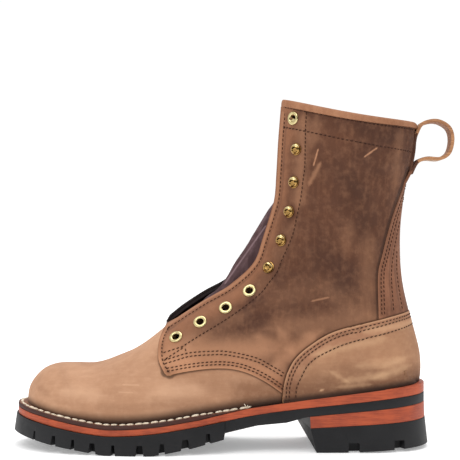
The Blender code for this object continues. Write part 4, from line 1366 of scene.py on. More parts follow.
@dataclass
class Upper:
    """Leather upper: wall, quarters, counter, backstay, collar binding, tongue and finger loop."""

    last: Last
    eyelet_hole: float = 3.6
    lining_hole: float = 5.0
    edge_round: float = 0.00042
    wall_grid: Grid = (230, 60)
    quarter_grid: Grid = (250, 100)
    counter_grid: Grid = (240, 70)
    stay_grid: Grid = (70, 130)
    collar_grid: Grid = (220, 36)
    tongue_grid: Grid = (160, 120)
    loop_grid: Grid = (110, 12)
    foot_share: float = 0.4
    # The wall beyond this x and z, in metres, gets painted shade on the back seam
    shaded_back_strip: Pair = (0.06, 0.11)
    flap_reach: float = 38.0
    flap_curve: float = 1.6
    sink_reach: float = 30.0
    stay_swell: float = 2.6
    swell_from: float = 0.88
    collar_thin: Triple = (0.5, 0.93, 0.07)
    trough_deep: float = 0.32
    trough_wide: float = 0.9
    stitch: Triple = (1.25, 0.45, 0.42)
    stitch_sunk: float = 0.14
    stitch_slant: float = 7.0
    tongue_half: float = 27.0
    tongue_under: float = 1.9
    tongue_thick: float = 2.0
    tongue_room: float = 1.5
    ripple: Triple = (0.5, 6.0, 5.0)
    ripple_way: Pair = (0.21, 0.05)
    crease: Triple = (0.9, 6.4, 0.8)
    crease_from: float = 3.0
    loop_half: float = 8.6
    loop_thick: float = 2.6
    # The loop below this x and z, in metres, gets painted shade where it lies on the back seam
    loop_foot: Pair = (0.1372, 0.233)
    stay_start: float = 17.7
    folds: tuple[Fold, ...] = (
        Fold(((-72.0, 66.0), (-63.0, 56.0), (-60.0, 44.0)), 5.0, 0.5),
        Fold(((-60.0, 72.0), (-55.0, 60.0), (-54.0, 50.0)), 4.0, -0.35),
        Fold(((30.0, 128.0), (52.0, 120.0), (78.0, 118.0)), 8.0, 0.7),
        Fold(((38.0, 142.0), (60.0, 138.0), (88.0, 142.0)), 9.0, -0.5),
        Fold(((44.0, 160.0), (70.0, 156.0), (96.0, 164.0)), 9.0, 0.5),
        Fold(((70.0, 228.0), (76.0, 190.0), (74.0, 150.0)), 12.0, 0.5),
        Fold(((98.0, 224.0), (97.0, 190.0), (92.0, 150.0)), 12.0, -0.4),
    )

    def throat_row(self) -> Array:
        """Side-view line of the throat's outer edge, from its front end to the collar.

        Returns:
            Points of x and z.
        """
        place = np.linspace(9.05, 22.6, 120)
        edge = self.last.edge_angle(place, -1)
        return self.last.point(place, edge, -1)[:, [0, 2]]

    @staticmethod
    def counter_line() -> Array:
        """Side-view line of the counter's edge."""
        return np.concatenate((smooth_curve(COUNTER_RISE), smooth_curve(COUNTER_EDGE)[1:]))

    def mark(self, panel: Piece, name: str, lines: Sequence[Array], inset: float = 0.0) -> None:
        """Store each point's side-view distance from lines, less an inset, as an attribute.

        Args:
            panel: the sheet.
            name: the attribute.
            lines: side-view lines.
            inset: taken off each distance.
        """
        spots = (Bench.points(panel) / MM + SHIFT)[:, [0, 2]]
        x, z = spots.T
        spots[:, 1] = z + self.last.dip(x, z + self.last.dip(x, z))
        near = [strip_distance(spots, line) - inset for line in lines]
        panel.data.attributes.new(name, "FLOAT", "POINT").data.foreach_set("value", np.min(near, axis=0))

    def seams(self) -> dict[str, list[Seam]]:
        """Rows of stitches by the panel that carries them.

        Returns:
            Lists of rows by panel.
        """
        lower = smooth_curve(QUARTER_LOWER)
        front = smooth_curve(QUARTER_FRONT)
        counter = self.counter_line()
        throat = self.throat_row()
        upper_pair = smooth_curve(((-48.0, 66.3), (-39.0, 69.1), (-32.0, 71.3), (-24.8, 72.4),
                                   (-15.2, 73.0), (-2.2, 73.0), (18.1, 68.9), (30.4, 62.7), (39.5, 57.2)))
        stay = smooth_curve(((-33.2, 76.6), (-22.0, 83.6), (-5.3, 93.6), (9.6, 103.6), (23.0, 114.4),
                             (28.8, 121.9), (34.6, 129.4), (38.0, 136.9), (42.0, 146.0), (46.2, 156.9),
                             (48.9, 168.0), (51.0, 177.5), (52.6, 186.2), (53.9, 197.4), (55.1, 209.0),
                             (55.5, 231.3), (56.3, 249.0)))
        quarter = [offset(throat, -3.0), stay, offset(lower, 2.6), offset(lower, 4.6), upper_pair,
                   offset(upper_pair, -2.4), offset(front, -2.6),
                   smooth_curve(((40.4, 236.5), (58.0, 233.6), (94.3, 226.7), (133.0, 219.3))),
                   smooth_curve(((41.5, 251.3), (60.0, 248.3), (98.0, 241.8), (134.0, 235.8))),
                   smooth_curve(((-32.2, 76.0), (-31.8, 71.6))),
                   smooth_curve(((-48.2, 71.2), (-33.0, 76.4))),
                   smooth_curve(((-46.8, 66.9), (-33.4, 75.4)))]
        third = smooth_curve(((47.4, 39.6), (48.0, 46.8), (50.4, 52.8), (55.1, 61.9), (59.5, 66.6),
                              (65.6, 70.6), (80.4, 77.4), (97.0, 82.4), (112.0, 85.8),
                              (125.2, 88.8), (134.0, 90.8)))
        stay_edge = smooth_curve(STAY_EDGE)[6:]
        backstay = [offset(stay_edge, -2.2), offset(stay_edge[:34], -4.2),
                    smooth_curve(((118.2, 101.5), (116.8, 127.2), (118.9, 144.8), (124.0, 168.0))),
                    smooth_curve(((125.2, 102.0), (121.6, 127.0), (121.6, 146.0)))]
        panels = {"quarter": (quarter, QUARTER_TOP),
                  "counter": ([offset(counter, -2.2), offset(counter, -4.4), third], COUNTER_TOP),
                  "backstay": (backstay, BACKSTAY_TOP)}
        return {name: [Seam(line, top) for line in lines] for name, (lines, top) in panels.items()}

    def relief(self, where: Array, side: Flank, seams: Sequence[Seam] = ()) -> Array:
        """Height of folds, stitch troughs and the open inner flap on the last, in millimetres.

        Args:
            where: place and angle pairs.
            side: -1 outer, 1 inner.
            seams: rows that draw the leather in.

        Returns:
            Heights above the plain last.
        """
        spots = self.last.point(*where.T, side)[:, [0, 2]]
        below = self.last.edge_angle(where[:, 0], side) - where[:, 1]
        stand = np.interp(where[:, 0], FLAP_ROWS, FLAP_STAND)
        stand = stand * np.clip(1 - below / self.flap_reach, 0, 1) ** self.flap_curve
        sink = np.interp(where[:, 0], SINK_ROWS, SINK) * np.clip(1 - below / self.sink_reach, 0, 1)
        lift = np.where(np.asarray(side) > 0, stand, -sink)
        for fold in self.folds:
            lift += fold.lift(spots)
        for seam in seams:
            near = strip_distance(spots, seam.line[::2])
            lift -= self.trough_deep * bell(near, self.trough_wide)
        return lift

    def sheet(self, name: str, fineness: Grid, spot: Placing, side: Callable[[Array], Array],
              top: float, thick: float, seams: Sequence[Seam], rim: Sequence[Array],
              lap_shadow: Sequence[Array] = (), swell: Placing | None = None) -> Piece:
        """Thick leather panel over the last.

        Args:
            name: name of the panel.
            fineness: faces along u and v.
            spot: gives place and angle on the last at shares u and v.
            side: gives the side of the foot at shares u.
            top: outer face above the last, in millimetres.
            thick: thickness, in millimetres.
            seams: stitch rows that draw the panel in.
            rim: side-view lines of the panel's own edges.
            lap_shadow: side-view lines just under the edges of panels that lie over it.
            swell: extra lift at shares u and v, in millimetres.

        Returns:
            The panel, with its cut edges as material 1.
        """
        def place(u: Array, v: Array) -> Array:
            """Points in metres at shares u and v.

            Args:
                u: shares along the piece.
                v: shares across it.

            Returns:
                One point for each pair.
            """
            where = spot(u, v)
            flank = side(u)
            lift = top + self.relief(where, flank, seams)
            if swell is not None:
                lift = lift + swell(u, v)
            return self.last.skin(*where.T, flank, lift)

        panel = Bench.grid(name, *fineness, place)
        self.face_out(panel)
        self.mark(panel, "rim", rim)
        # Distances that place painted shade: along the stitch rows, above the sole and under lapped edges
        self.mark(panel, "sewn", [seam.line for seam in seams])
        self.mark(panel, "foot", (self.last.seam_line[::8],))
        if lap_shadow:
            self.mark(panel, "lap_shadow", lap_shadow, LAP_INSET)
        self.pierce(panel, self.eyelet_hole)
        self.thicken(panel, thick)
        return panel

    def thicken(self, panel: Piece, thick: float) -> None:
        """Thicken a sheet inwards, rim as material 1 and inside as material 2, and round its edges.

        Args:
            panel: the sheet.
            thick: thickness, in millimetres.
        """
        Bench.slots(panel, 3)
        Bench.modify(panel, "SOLIDIFY", thickness=thick * MM, offset=-1.0, material_offset_rim=1,
                     material_offset=2, use_even_offset=False)
        Bench.round_edges(panel, self.edge_round)
        Bench.smooth(panel, 50)

    def face_out(self, panel: Piece) -> None:
        """Turn a sheet over if its faces look into the boot."""
        outward = np.sign(Bench.faces(panel, "center")[:, 1]) * Bench.faces(panel, "normal")[:, 1]
        if float(np.sum(outward)) < 0:
            Bench.flip(panel)

    def pierce(self, panel: Piece, hole: float) -> None:
        """Open the eyelets' holes through a sheet.

        Args:
            panel: the sheet.
            hole: radius, in millimetres.
        """
        seats = [self.last.seat(spot, side, 0.0).translation for spot in EYELETS for side in Side]

        def inside(middles: Array) -> Array:
            """Whether each face lies in a hole."""
            near = [np.linalg.norm(middles - np.array(seat), axis=1) for seat in seats]
            return np.min(near, axis=0) < hole * MM

        Bench.drop(panel, inside)

    def even_places(self, first: float, end: float) -> Callable[[Array], Array]:
        """Places evenly spaced along the widest line of the last.

        Args:
            first: first row.
            end: last row.

        Returns:
            Function from shares to rows.
        """
        fine = np.linspace(first, end, 600)
        lengths = run_lengths(self.last.point(fine, np.zeros(600), -1))
        return lambda share: np.interp(share * lengths[-1], lengths, fine)

    def wall(self) -> None:
        """Hollow vamp and lining, one sheet on each side sewn together at the crest and the back."""
        rows = self.even_places(0.0, RIM_ROW)
        halves = []
        for side in Side:
            def place(u: Array, v: Array, flank: int = side.value) -> Array:
                """Points in metres at shares u and v.

                Args:
                    u: shares along the piece.
                    v: shares across it.
                    flank: -1 outer, 1 inner.

                Returns:
                    One point for each pair.
                """
                at = rows(u)
                edge = self.last.edge_angle(at, flank)
                low = self.foot_share
                angle = np.where(v < low, -90 + 90 * v / low, edge * (v - low) / (1 - low))
                return self.last.skin(at, angle, flank, self.relief(np.column_stack((at, angle)), flank))

            half = Bench.grid("wall", *self.wall_grid, place)
            self.face_out(half)
            halves.append(half)
        wall = Bench.join("upper_wall", halves)
        Bench.weld(wall)
        self.face_out(wall)
        # Painted shadow under the quarter's and counter's edges, and painted shade and dirt above the
        # sole
        self.mark(wall, "lap_shadow", (offset(smooth_curve(QUARTER_LOWER), LAP_INSET),
                                offset(smooth_curve(QUARTER_FRONT), -LAP_INSET),
                                offset(self.counter_line(), -LAP_INSET)), LAP_INSET)
        self.mark(wall, "foot", (self.last.seam_line[::8],))
        self.pierce(wall, self.lining_hole)
        self.thicken(wall, WALL)
        # Painted shade: the back seam above the backstay lies in shadow and gets the dark strap colour
        Bench.paint(wall, 3, lambda spots, ways, now:
                    (spots[:, [0, 2]] > self.shaded_back_strip).all(axis=1) & (now == 0))
        Bench.hand_over(wall, "vamp_leather", (VAMP, LINING, LINING, STRAP_SHADE), ("upper",))

    def coons(self, bottom: Array, top: Array, left: Array, right: Array,
              warp: float = 1.0) -> Placing:
        """Surface spots between four boundary lines of place and angle, measured on the last.

        Args:
            bottom: lower boundary.
            top: upper boundary.
            left: boundary where u is 0.
            right: boundary where u is 1.
            warp: above 1, crowds the columns towards the start of the lower boundary.

        Returns:
            Place and angle on the last at shares u and v.
        """
        def lengths(line: Array) -> Array:
            """Distances along a boundary."""
            return run_lengths(self.last.point(*line.T, -1))

        sizes = [lengths(line) for line in (bottom, top, left, right)]

        def spot(u: Array, v: Array) -> Array:
            """Place and angle on the last at shares u and v.

            Args:
                u: shares along the piece.
                v: shares across it.

            Returns:
                Place and angle pairs.
            """
            low, high = along(bottom, u ** warp, sizes[0]), along(top, u, sizes[1])
            near, far = along(left, v, sizes[2]), along(right, v, sizes[3])
            a, b = u[:, None], v[:, None]
            corners = ((1 - a) * (1 - b) * bottom[0] + a * (1 - b) * bottom[-1]
                       + (1 - a) * b * top[0] + a * b * top[-1])
            return (1 - b) * low + b * high + (1 - a) * near + a * far - corners

        return spot

    def quarters(self) -> None:
        """Outer quarters with their eyestays, lapped over the vamp."""
        front = self.last.locate(smooth_curve(QUARTER_FRONT))
        lower = np.concatenate((smooth_curve(QUARTER_LOWER), smooth_curve(QUARTER_HIDDEN)))
        bottom = self.last.locate(lower)
        bottom[0] = front[0]
        end_place = RIM_ROW - 0.005
        bottom[-1, 0] = end_place
        seams = self.seams()["quarter"]
        rim = (smooth_curve(QUARTER_FRONT), smooth_curve(QUARTER_LOWER), self.throat_row())
        lap_shadow = [offset(line, -LAP_INSET) for line in (self.counter_line(), smooth_curve(STAY_EDGE))]
        for side in Side:
            places = np.linspace(front[-1, 0], end_place, 200)
            throat = np.stack((places, self.last.edge_angle(places, side.value)), axis=-1)
            left = front.copy()
            left[-1] = throat[0]
            turns = np.linspace(bottom[-1, 1], throat[-1, 1], 60)
            collar = np.stack((np.full(60, end_place), turns), axis=-1)
            spot = self.coons(bottom, throat, left, collar, QUARTER_WARP)
            panel = self.sheet("quarter_panel_" + side.name.lower(), self.quarter_grid, spot,
                               lambda u, flank=side.value: np.full(len(u), flank),
                               QUARTER_TOP, QUARTER_TOP - 0.2, seams, rim, lap_shadow)
            # The inner quarter's cut edge lies in shadow in the throat and is painted in the dark lining
            # colour: painted shade
            cut = EDGE if side is Side.LATERAL else LINING
            Bench.hand_over(panel, "quarter_leather", (SHAFT, cut, LINING),
                            ("quarter_" + side.name.lower(),))

    def counter(self) -> None:
        """Heel counter in one piece from the outer waist round the back to the inner one."""
        rise = self.last.locate(smooth_curve(COUNTER_RISE))
        edge = self.last.locate(smooth_curve(COUNTER_EDGE))
        edge[0] = rise[-1]
        rise[0, 1] = -90.0
        edge[-1, 1] = -90.0
        floor = np.stack((np.linspace(rise[0, 0], HEEL_ROW, 60), np.full(60, -90.0)), axis=-1)
        back = np.stack((np.linspace(HEEL_ROW, edge[-1, 0], 30), np.full(30, -90.0)), axis=-1)
        half = self.coons(floor, edge, rise, back)

        def spot(u: Array, v: Array) -> Array:
            """Place and angle on the last at shares u and v."""
            return half(1 - np.abs(2 * u - 1), v)

        panel = self.sheet("counter_panel", self.counter_grid, spot, flanks, COUNTER_TOP,
                           COUNTER_TOP - 0.1, self.seams()["counter"], (self.counter_line(),))
        Bench.hand_over(panel, "vamp_leather", (COUNTER, EDGE, COUNTER), ("counter",))

    def backstay(self) -> None:
        """Strip over the back seam, broad at the counter and narrow at the collar."""
        edge = self.last.locate(smooth_curve(STAY_EDGE))
        share = np.linspace(0, 1, len(edge))
        back_row = self.stay_start + (STAY_TOP_ROW - self.stay_start) * share
        back = np.stack((back_row, np.full(len(edge), -90.0)), axis=-1)

        def spot(u: Array, v: Array) -> Array:
            """Place and angle on the last at shares u and v.

            Args:
                u: shares along the piece.
                v: shares across it.

            Returns:
                Place and angle pairs.
            """
            reach = np.abs(2 * u - 1)
            outer, inner = along(edge, v), along(back, v)
            place = inner[:, 0] + (outer[:, 0] - inner[:, 0]) * reach ** 2
            return np.stack((place, inner[:, 1] + (outer[:, 1] - inner[:, 1]) * reach), axis=-1)

        panel = self.sheet("backstay_strip", self.stay_grid, spot, flanks, BACKSTAY_TOP,
                           BACKSTAY_TOP - 0.2, self.seams()["backstay"], (smooth_curve(STAY_EDGE),),
                           (offset(self.counter_line(), -LAP_INSET),),
                           lambda u, v: self.stay_swell
                           * np.clip((v - self.swell_from) / (1 - self.swell_from), 0, 1))
        Bench.hand_over(panel, "quarter_leather", (STAY, STAY, STAY), ("backstay",))

    def binding(self) -> None:
        """Rolled binding round the collar, from one eyestay round the back to the other."""
        roll = np.array(COLLAR_ROLL)

        def place(u: Array, v: Array) -> Array:
            """Points in metres at shares u and v.

            Args:
                u: shares along the piece.
                v: shares across it.

            Returns:
                One point for each pair.
            """
            reach = np.abs(2 * u - 1)
            side = flanks(u)
            at = np.interp(v, np.linspace(0, 1, len(roll)), np.arange(len(roll)))
            row, lift = smooth_rows(roll, at).T
            row = np.minimum(row, TOP_ROW)
            edge = self.last.edge_angle(row, side)
            loss, start, run = self.collar_thin
            lift = lift * (1 - loss * np.clip((reach - start) / run, 0, 1))
            return self.last.skin(row, -90 + (edge + 90) * reach, side, lift)

        collar = Bench.grid("collar_roll", *self.collar_grid, place)
        Bench.close(collar)
        Bench.smooth(collar, 60)
        Bench.hand_over(collar, "quarter_leather", (COLLAR,), ("collar_binding",))

    def tongue(self) -> None:
        """Gusset tongue under the throat, folded forward where the throat is widest."""
        first, end = TONGUE_ROWS[0], TONGUE_ROWS[-1]

        def place(u: Array, v: Array) -> Array:
            """Points in metres at shares u and v.

            Args:
                u: shares along the piece.
                v: shares across it.

            Returns:
                One point for each pair.
            """
            at = first + (end - first) * u
            side = flanks(v)
            cut = self.last.sections(at)
            start = np.degrees(np.arccos(np.minimum(self.tongue_half / cut.wide, 1.0)))
            share = 1 - np.abs(2 * v - 1)
            angle = start + (90 - start) * share
            width = np.abs(self.last.point(at, angle, side)[:, 1] - cut.swing)
            room = np.maximum(self.last.gap(at, side) - self.tongue_room, 0.1)
            row = np.interp(at, TONGUE_ROWS, range(len(TONGUE_ROWS)))
            rise = smooth_rows(np.array([TONGUE_FOLD]).T, row)[:, 0]
            rise = np.maximum(rise, 0.0) * (0.5 + 0.5 * np.cos(np.pi * np.minimum(width / room, 1)))
            flat = self.last.point(at, angle, side)[:, [0, 2]]
            high, middle, wide = self.ripple
            wave = np.sin(flat[:, 0] * self.ripple_way[0] + flat[:, 1] * self.ripple_way[1])
            ripple = high * wave * bell(width - middle, wide)
            high, middle, wide = self.crease
            crease = np.where(side < 0, high * bell(width - middle, wide), 0.0)
            crease = crease * np.clip(rise / self.crease_from, 0, 1)
            return self.last.skin(at, angle, side, rise - WALL - self.tongue_under + ripple + crease)

        sheet = Bench.grid("tongue_sheet", *self.tongue_grid, place)
        self.face_out(sheet)
        Bench.modify(sheet, "SOLIDIFY", thickness=self.tongue_thick * MM, offset=-1.0,
                     use_even_offset=False)
        Bench.round_edges(sheet, 0.0004)
        Bench.smooth(sheet, 60)
        Bench.hand_over(sheet, "tongue_leather", (TONGUE,), ("tongue",))

    def loop(self) -> None:
        """Finger loop: a strip bent into a free bight and laid on the back seam."""
        line = smooth_curve(STRAP + LOOP_BIGHT)

        def place(u: Array, v: Array) -> Array:
            """Points in metres at shares u and v."""
            spot = along(line, u)
            return metres(np.stack((spot[:, 0], (v - 0.5) * 2 * self.loop_half, spot[:, 1]), axis=-1))

        band = Bench.grid("finger_loop", *self.loop_grid, place)
        Bench.flip(band)
        Bench.slots(band, 3)
        Bench.modify(band, "SOLIDIFY", thickness=self.loop_thick * MM, offset=0.0, material_offset_rim=1,
                     material_offset=2)
        Bench.round_edges(band, 0.0005)
        Bench.smooth(band, 60)
        # Painted shade: the loop's foot on the back seam lies in shadow and gets the dark strap colour
        Bench.paint(band, 3, lambda spots, ways, now:
                    (spots[:, [0, 2]] < self.loop_foot).all(axis=1))
        Bench.hand_over(band, "quarter_leather", (LOOP, EDGE, FLESH, STRAP_SHADE), ("pull_loop",))

    def stitches(self) -> None:
        """Brown thread along every seam of the upper."""
        for name, seams in self.seams().items():
            frames = [self.row_frames(seam, side) for seam in seams for side in Side]
            row = Bench.stamp("stitches_" + name, Bench.bead(self.stitch, 1), np.concatenate(frames))
            slot = "vamp_leather" if name == "counter" else "quarter_leather"
            Bench.hand_over(row, slot, (STITCH,))

    def row_frames(self, seam: Seam, side: Side) -> Array:
        """Frame of each stitch in a row: X along it and Z out of the leather.

        Args:
            seam: the row.
            side: side of the foot.

        Returns:
            One 3 x 4 frame for each stitch.
        """
        spots = self.last.locate(seam.line)
        lengths = run_lengths(self.last.point(*spots.T, side.value))
        count = max(int(lengths[-1] / seam.pitch), 1)
        share = (np.arange(count) + 0.5) / count
        middle = along(spots, share, lengths)
        ahead = along(spots, np.minimum(share + 0.2 / count, 1.0), lengths)
        lift = seam.lift - self.stitch_sunk + self.relief(middle, side.value)
        place = self.last.skin(*middle.T, side.value, lift)
        out = self.last.normal(*middle.T, side.value)
        run = self.last.point(*ahead.T, side.value) - self.last.point(*middle.T, side.value)
        run = run - np.sum(run * out, axis=1, keepdims=True) * out
        run = run / np.maximum(np.linalg.norm(run, axis=1, keepdims=True), 1e-9)
        across = np.cross(out, run)
        run, across = slanted(run, across, np.array(math.radians(self.stitch_slant)))
        return np.stack((run, across, out, place), axis=-1)

    def build(self) -> None:
        """Make every leather piece of the upper."""
        self.wall()
        self.quarters()
        self.counter()
        self.backstay()
        self.binding()
        self.tongue()
        self.loop()
        self.stitches()


def rounded(low: float, high: float, radius: float) -> Array:
    """Edge of a plate from its bottom to its top, with rounded corners.

    Args:
        low: growth at the bottom.
        high: growth at the top.
        radius: radius of the corners.

    Returns:
        One row for each line: growth, distance from the nearer face, 0 at the bottom or 1 at the top.
    """
    turns = np.linspace(0, math.pi / 2, 4)
    back, off = radius * (1 - np.sin(turns)), radius * (1 - np.cos(turns))
    bottom = np.column_stack((low - back, off, np.zeros(4)))
    top = np.column_stack((high - back, off, np.ones(4)))
    return np.concatenate((bottom, top[::-1]))


@dataclass
class Sole:
    """Welted sole unit: welt, midsole, lugged outsole, heel stack and rubber lift."""

    last: Last
    tread_flare: float = 3.0
    tread_flare_top: float = 1.3
    breast: Pair = (58.0, 41.5)
    slant: Pair = (4.6, 20.5)
    thread: Triple = (2.85, 1.05, 0.95)
    thread_pitch: float = 5.8
    thread_inset: float = 2.9
    thread_lift: float = 0.4
    thread_wander: float = 0.15
    thread_drift: float = 0.1
    thread_slant: Pair = (9.0, 4.0)
    thread_size: Pair = (0.82, 1.14)
    seed: int = 11
    strands: int = 9
    strand_size: Pair = (0.8, 0.36)
    strand_way: Triple = (0.8, 0.0, 0.4)
    strand_stray: float = 0.6
    strand_spread: float = 0.7
    strand_out: float = 1.6
    strand_lift: float = 0.5
    grooves: int = 7
    groove_start: float = -134.0
    groove_pitch: float = 16.4
    groove: Triple = (4.0, 50.0, 8.0)
    notch_reach: float = 5.0
    notch_narrow: float = 0.05
    notch_spread: float = 0.12
    edge_round: float = 0.0004
    midsole_edge: Triple = (0.0, 0.0, 0.7)
    outsole_edge: Triple = (0.0, 0.0, 0.5)
    stack_edge: Triple = (0.35, 0.1, 0.5)
    lift_edge: Triple = (2.6, 0.7, 0.5)
    heel_split: float = 0.45
    shaded_ledge_end: float = 0.11
    breast_end: float = 0.062
    welt_columns: int = 400
    tread_columns: int = 420
    heel_columns: int = 120

    def plate(self, name: str, places: Picking, edge: Array, low: Height, high: Height,
              flare: Placing | None = None, columns: int = 330) -> Piece:
        """Solid plate through rings across the sole.

        Args:
            name: name of the plate.
            places: gives places on the seam line at shares u, sides and heights from 0 to 1.
            edge: lines of the edge from bottom to top.
            low: underside by x.
            high: top side by x.
            flare: extra growth of the edge by place and height.
            columns: rings along the sole.

        Returns:
            The closed plate.
        """
        ring = np.concatenate((edge, edge[::-1]))
        count = len(ring)

        def place(u: Array, v: Array) -> Array:
            """Points in metres at shares u and v.

            Args:
                u: shares along the piece.
                v: shares across it.

            Returns:
                One point for each pair.
            """
            index = np.round(v * count).astype(int) % count
            grow, off, level = ring[index].T
            side = flanks(index / count)
            at = places(u, side, level)
            if flare is not None:
                grow = grow + flare(at, level)
            spot = self.last.plan_edge(at, side, grow)[0]
            height = np.where(level > 0, high(spot[:, 0]) - off, low(spot[:, 0]) + off)
            return metres(np.column_stack((spot, height)))

        solid = Bench.grid(name, columns, count, place)
        Bench.weld(solid)
        return solid

    def full(self) -> Picking:
        """Places from toe to heel, evenly spaced round the sole's edge.

        Returns:
            Places by share, side and height.
        """
        fine = np.linspace(0, HEEL_ROW, 1600)
        lengths = run_lengths(self.last.plan_edge(fine, -1, 0.0)[0])
        return lambda u, side, level: np.interp(u * lengths[-1], lengths, fine)

    @staticmethod
    def welt_thick(x: Array) -> Array:
        """Thickness of the welt, skived away at the waist."""
        return WELT_THICK * np.clip((WELT_END_X - x) / WELT_TAPER, 0, 1)

    def layer(self, x: Array) -> Array:
        """Height of the joint between midsole and outsole."""
        return self.last.seam_z(x) - np.interp(x, DROP_X, DROP)

    def midsole(self) -> None:
        """Red-brown slip sole, stepped down in front where the welt lies on it."""
        def top(x: Array) -> Array:
            """Top side by x."""
            return self.last.seam_z(x) - self.welt_thick(x) - SKIM

        plate = self.plate("midsole_plate", self.full(), rounded(*self.midsole_edge), self.layer, top)
        Bench.smooth(plate, 35)
        # Painted shade: the midsole's top ledge in the waist lies in shadow under the upper and is
        # painted in the dark welt colour
        Bench.paint(plate, 1, lambda spots, ways, now:
                    (ways[:, 2] > UPWARD) & (spots[:, 0] < self.shaded_ledge_end))
        Bench.hand_over(plate, "sole_leather", (MIDSOLE, WELT), ("midsole",))

    def welt(self) -> None:
        """Dark strip from the outer waist round the toe to the inner waist."""
        end = float(self.last.seam_place(WELT_END_X))
        fine = np.linspace(0, end, 900)
        lengths = run_lengths(self.last.plan_edge(fine, -1, 0.0)[0])
        profile = np.array(WELT_PROFILE)
        count = len(profile)

        def place(u: Array, v: Array) -> Array:
            """Points in metres at shares u and v.

            Args:
                u: shares along the piece.
                v: shares across it.

            Returns:
                One point for each pair.
            """
            index = np.round(v * count).astype(int) % count
            side = flanks(u)
            at = np.interp(np.abs(2 * u - 1) * lengths[-1], lengths, fine)
            grow, rise = profile[index].T
            edge, out = self.last.plan_edge(at, side, 0.0)
            spot = edge + out * grow[:, None]
            thick = self.welt_thick(edge[:, 0])
            height = self.last.seam_z(edge[:, 0]) - thick + rise * (thick + SKIM) / WELT_THICK
            return metres(np.column_stack((spot, height)))

        strip = Bench.grid("welt_strip", self.welt_columns, count, place)
        Bench.weld(strip)
        Bench.close(strip)
        Bench.smooth(strip, 35)
        Bench.paint(strip, 1, lambda spots, ways, now: ways[:, 2] > UPWARD)
        Bench.hand_over(strip, "welt_leather", (WELT, SHELF), ("welt",))

    def welt_thread(self) -> None:
        """Heavy cream lockstitch round the welt, with loose ends at the waist."""
        end = float(self.last.seam_place(WELT_END_X))
        fine = np.linspace(0, end, 900)
        chance = np.random.default_rng(self.seed)
        frames = []
        for side in Side:
            walk = self.last.plan_edge(fine, side.value, -self.thread_inset)[0]
            lengths = run_lengths(walk)
            count = int(lengths[-1] / self.thread_pitch)
            drift = chance.uniform(-self.thread_drift, self.thread_drift, count)
            share = (np.arange(count) + 0.5 + drift) / count
            spots = along(walk, share, lengths)
            ahead = along(walk, np.minimum(share + 0.1 / count, 1), lengths)
            height = self.last.seam_z(spots[:, 0])
            run = unit(np.column_stack((ahead - spots, self.last.seam_z(ahead[:, 0]) - height)))
            across = unit(np.cross(UP, run))
            up = np.cross(run, across)
            slant = np.radians(chance.normal(*self.thread_slant, count))[:, None]
            run, across = slanted(run, across, slant)
            rise = self.thread_lift + chance.uniform(-self.thread_wander, self.thread_wander, count)
            place = metres(np.column_stack((spots, height + rise)))
            size = chance.uniform(*self.thread_size, (count, 1))
            frames.append(np.stack((run * size, across * size, up * size, place), axis=-1))
            cut_off = np.array((*walk[-1], float(self.last.seam_z(walk[-1, 0]))))
            frames.append(self.loose_ends(cut_off, chance))
        rope = Bench.stamp("welt_stitches", Bench.bead(self.thread, 2), np.concatenate(frames))
        Bench.hand_over(rope, "welt_leather", (CREAM,))

    def loose_ends(self, spot: Array, chance: np.random.Generator) -> Array:
        """Frames of a few frayed strands where the thread is cut off.

        Args:
            spot: end of the thread.
            chance: source of chance.

        Returns:
            One 3 x 4 frame for each strand.
        """
        shape = (self.strands, 3)
        way = unit(chance.normal(0.0, self.strand_stray, shape) + np.array(self.strand_way))
        across = unit(np.cross(UP, way))
        place = spot + chance.normal(0.0, self.strand_spread, shape)
        place = metres(place + way * self.strand_out + UP * self.strand_lift)
        long, wide = self.strand_size
        return np.stack((way * long, across * wide, np.cross(way, across) * wide, place), axis=-1)

    def tread(self, x: Array) -> Array:
        """Underside of the outsole by x."""
        return np.where(x < STEP_X, np.interp(x, TREAD_X, TREAD_Z), np.interp(x, WAIST_X, WAIST_Z))

    def outsole(self) -> None:
        """Black rubber with its toe spring, side lugs, rear step and thin waist."""
        rear = float(self.last.seam_place(STEP_X))

        def flare(place: Array, level: Array) -> Array:
            """How far the tread stands out, by place and height."""
            sides = self.tread_flare + (self.tread_flare_top - self.tread_flare) * level
            return np.where(place <= rear, sides, 0.0)

        plate = self.plate("outsole_plate", self.full(), rounded(*self.outsole_edge), self.tread,
                           lambda x: self.layer(x) - SKIM, flare, self.tread_columns)
        cutters = []
        for x, wide in LUGS:
            floor = float(self.tread(np.array(x)))
            cutters += [self.notch(x, side, wide, LUG_DEEP, LUG_HIGH, floor) for side in Side]
        for i in range(self.grooves):
            x = self.groove_start + self.groove_pitch * i
            cutters.append(self.block((x, 0.0, float(self.tread(np.array(x)))), self.groove, 0.0))
        Bench.carve(plate, cutters, self.edge_round)
        Bench.hand_over(plate, "rubber", (RUBBER,), ("outsole",))

    def notch(self, x: float, side: Side, wide: float, reach: float, high: float, floor: float,
              narrow: float = 0.5) -> Piece:
        """Cutter for a notch square to the sole's edge, narrower at its top.

        Args:
            x: place along the boot.
            side: side of the foot.
            wide: width.
            reach: how far it starts outside the edge.
            high: height.
            floor: underside of the tread there.
            narrow: share of the width lost at the top.

        Returns:
            The cutter.
        """
        place = np.array([float(self.last.seam_place(x))])
        spot, out = self.last.plan_edge(place, side.value, 0.0)
        middle = spot[0] + out[0] * (LUG_INSET - reach) / 2
        turn = math.atan2(out[0][1], out[0][0])
        cutter = self.block((middle[0], middle[1], floor), (LUG_INSET + reach, wide, 2 * high), turn)
        taper = Bench.points(cutter)
        local = metres(np.array((middle[0], middle[1], 0.0)))
        axis = np.array((-math.sin(turn), math.cos(turn), 0.0))
        away = (taper - local) @ axis
        top = taper[:, 2] > floor * MM
        shift = np.where(top, -narrow, self.notch_spread)[:, None] * away[:, None] * axis
        Bench.move(cutter, taper + shift)
        return cutter

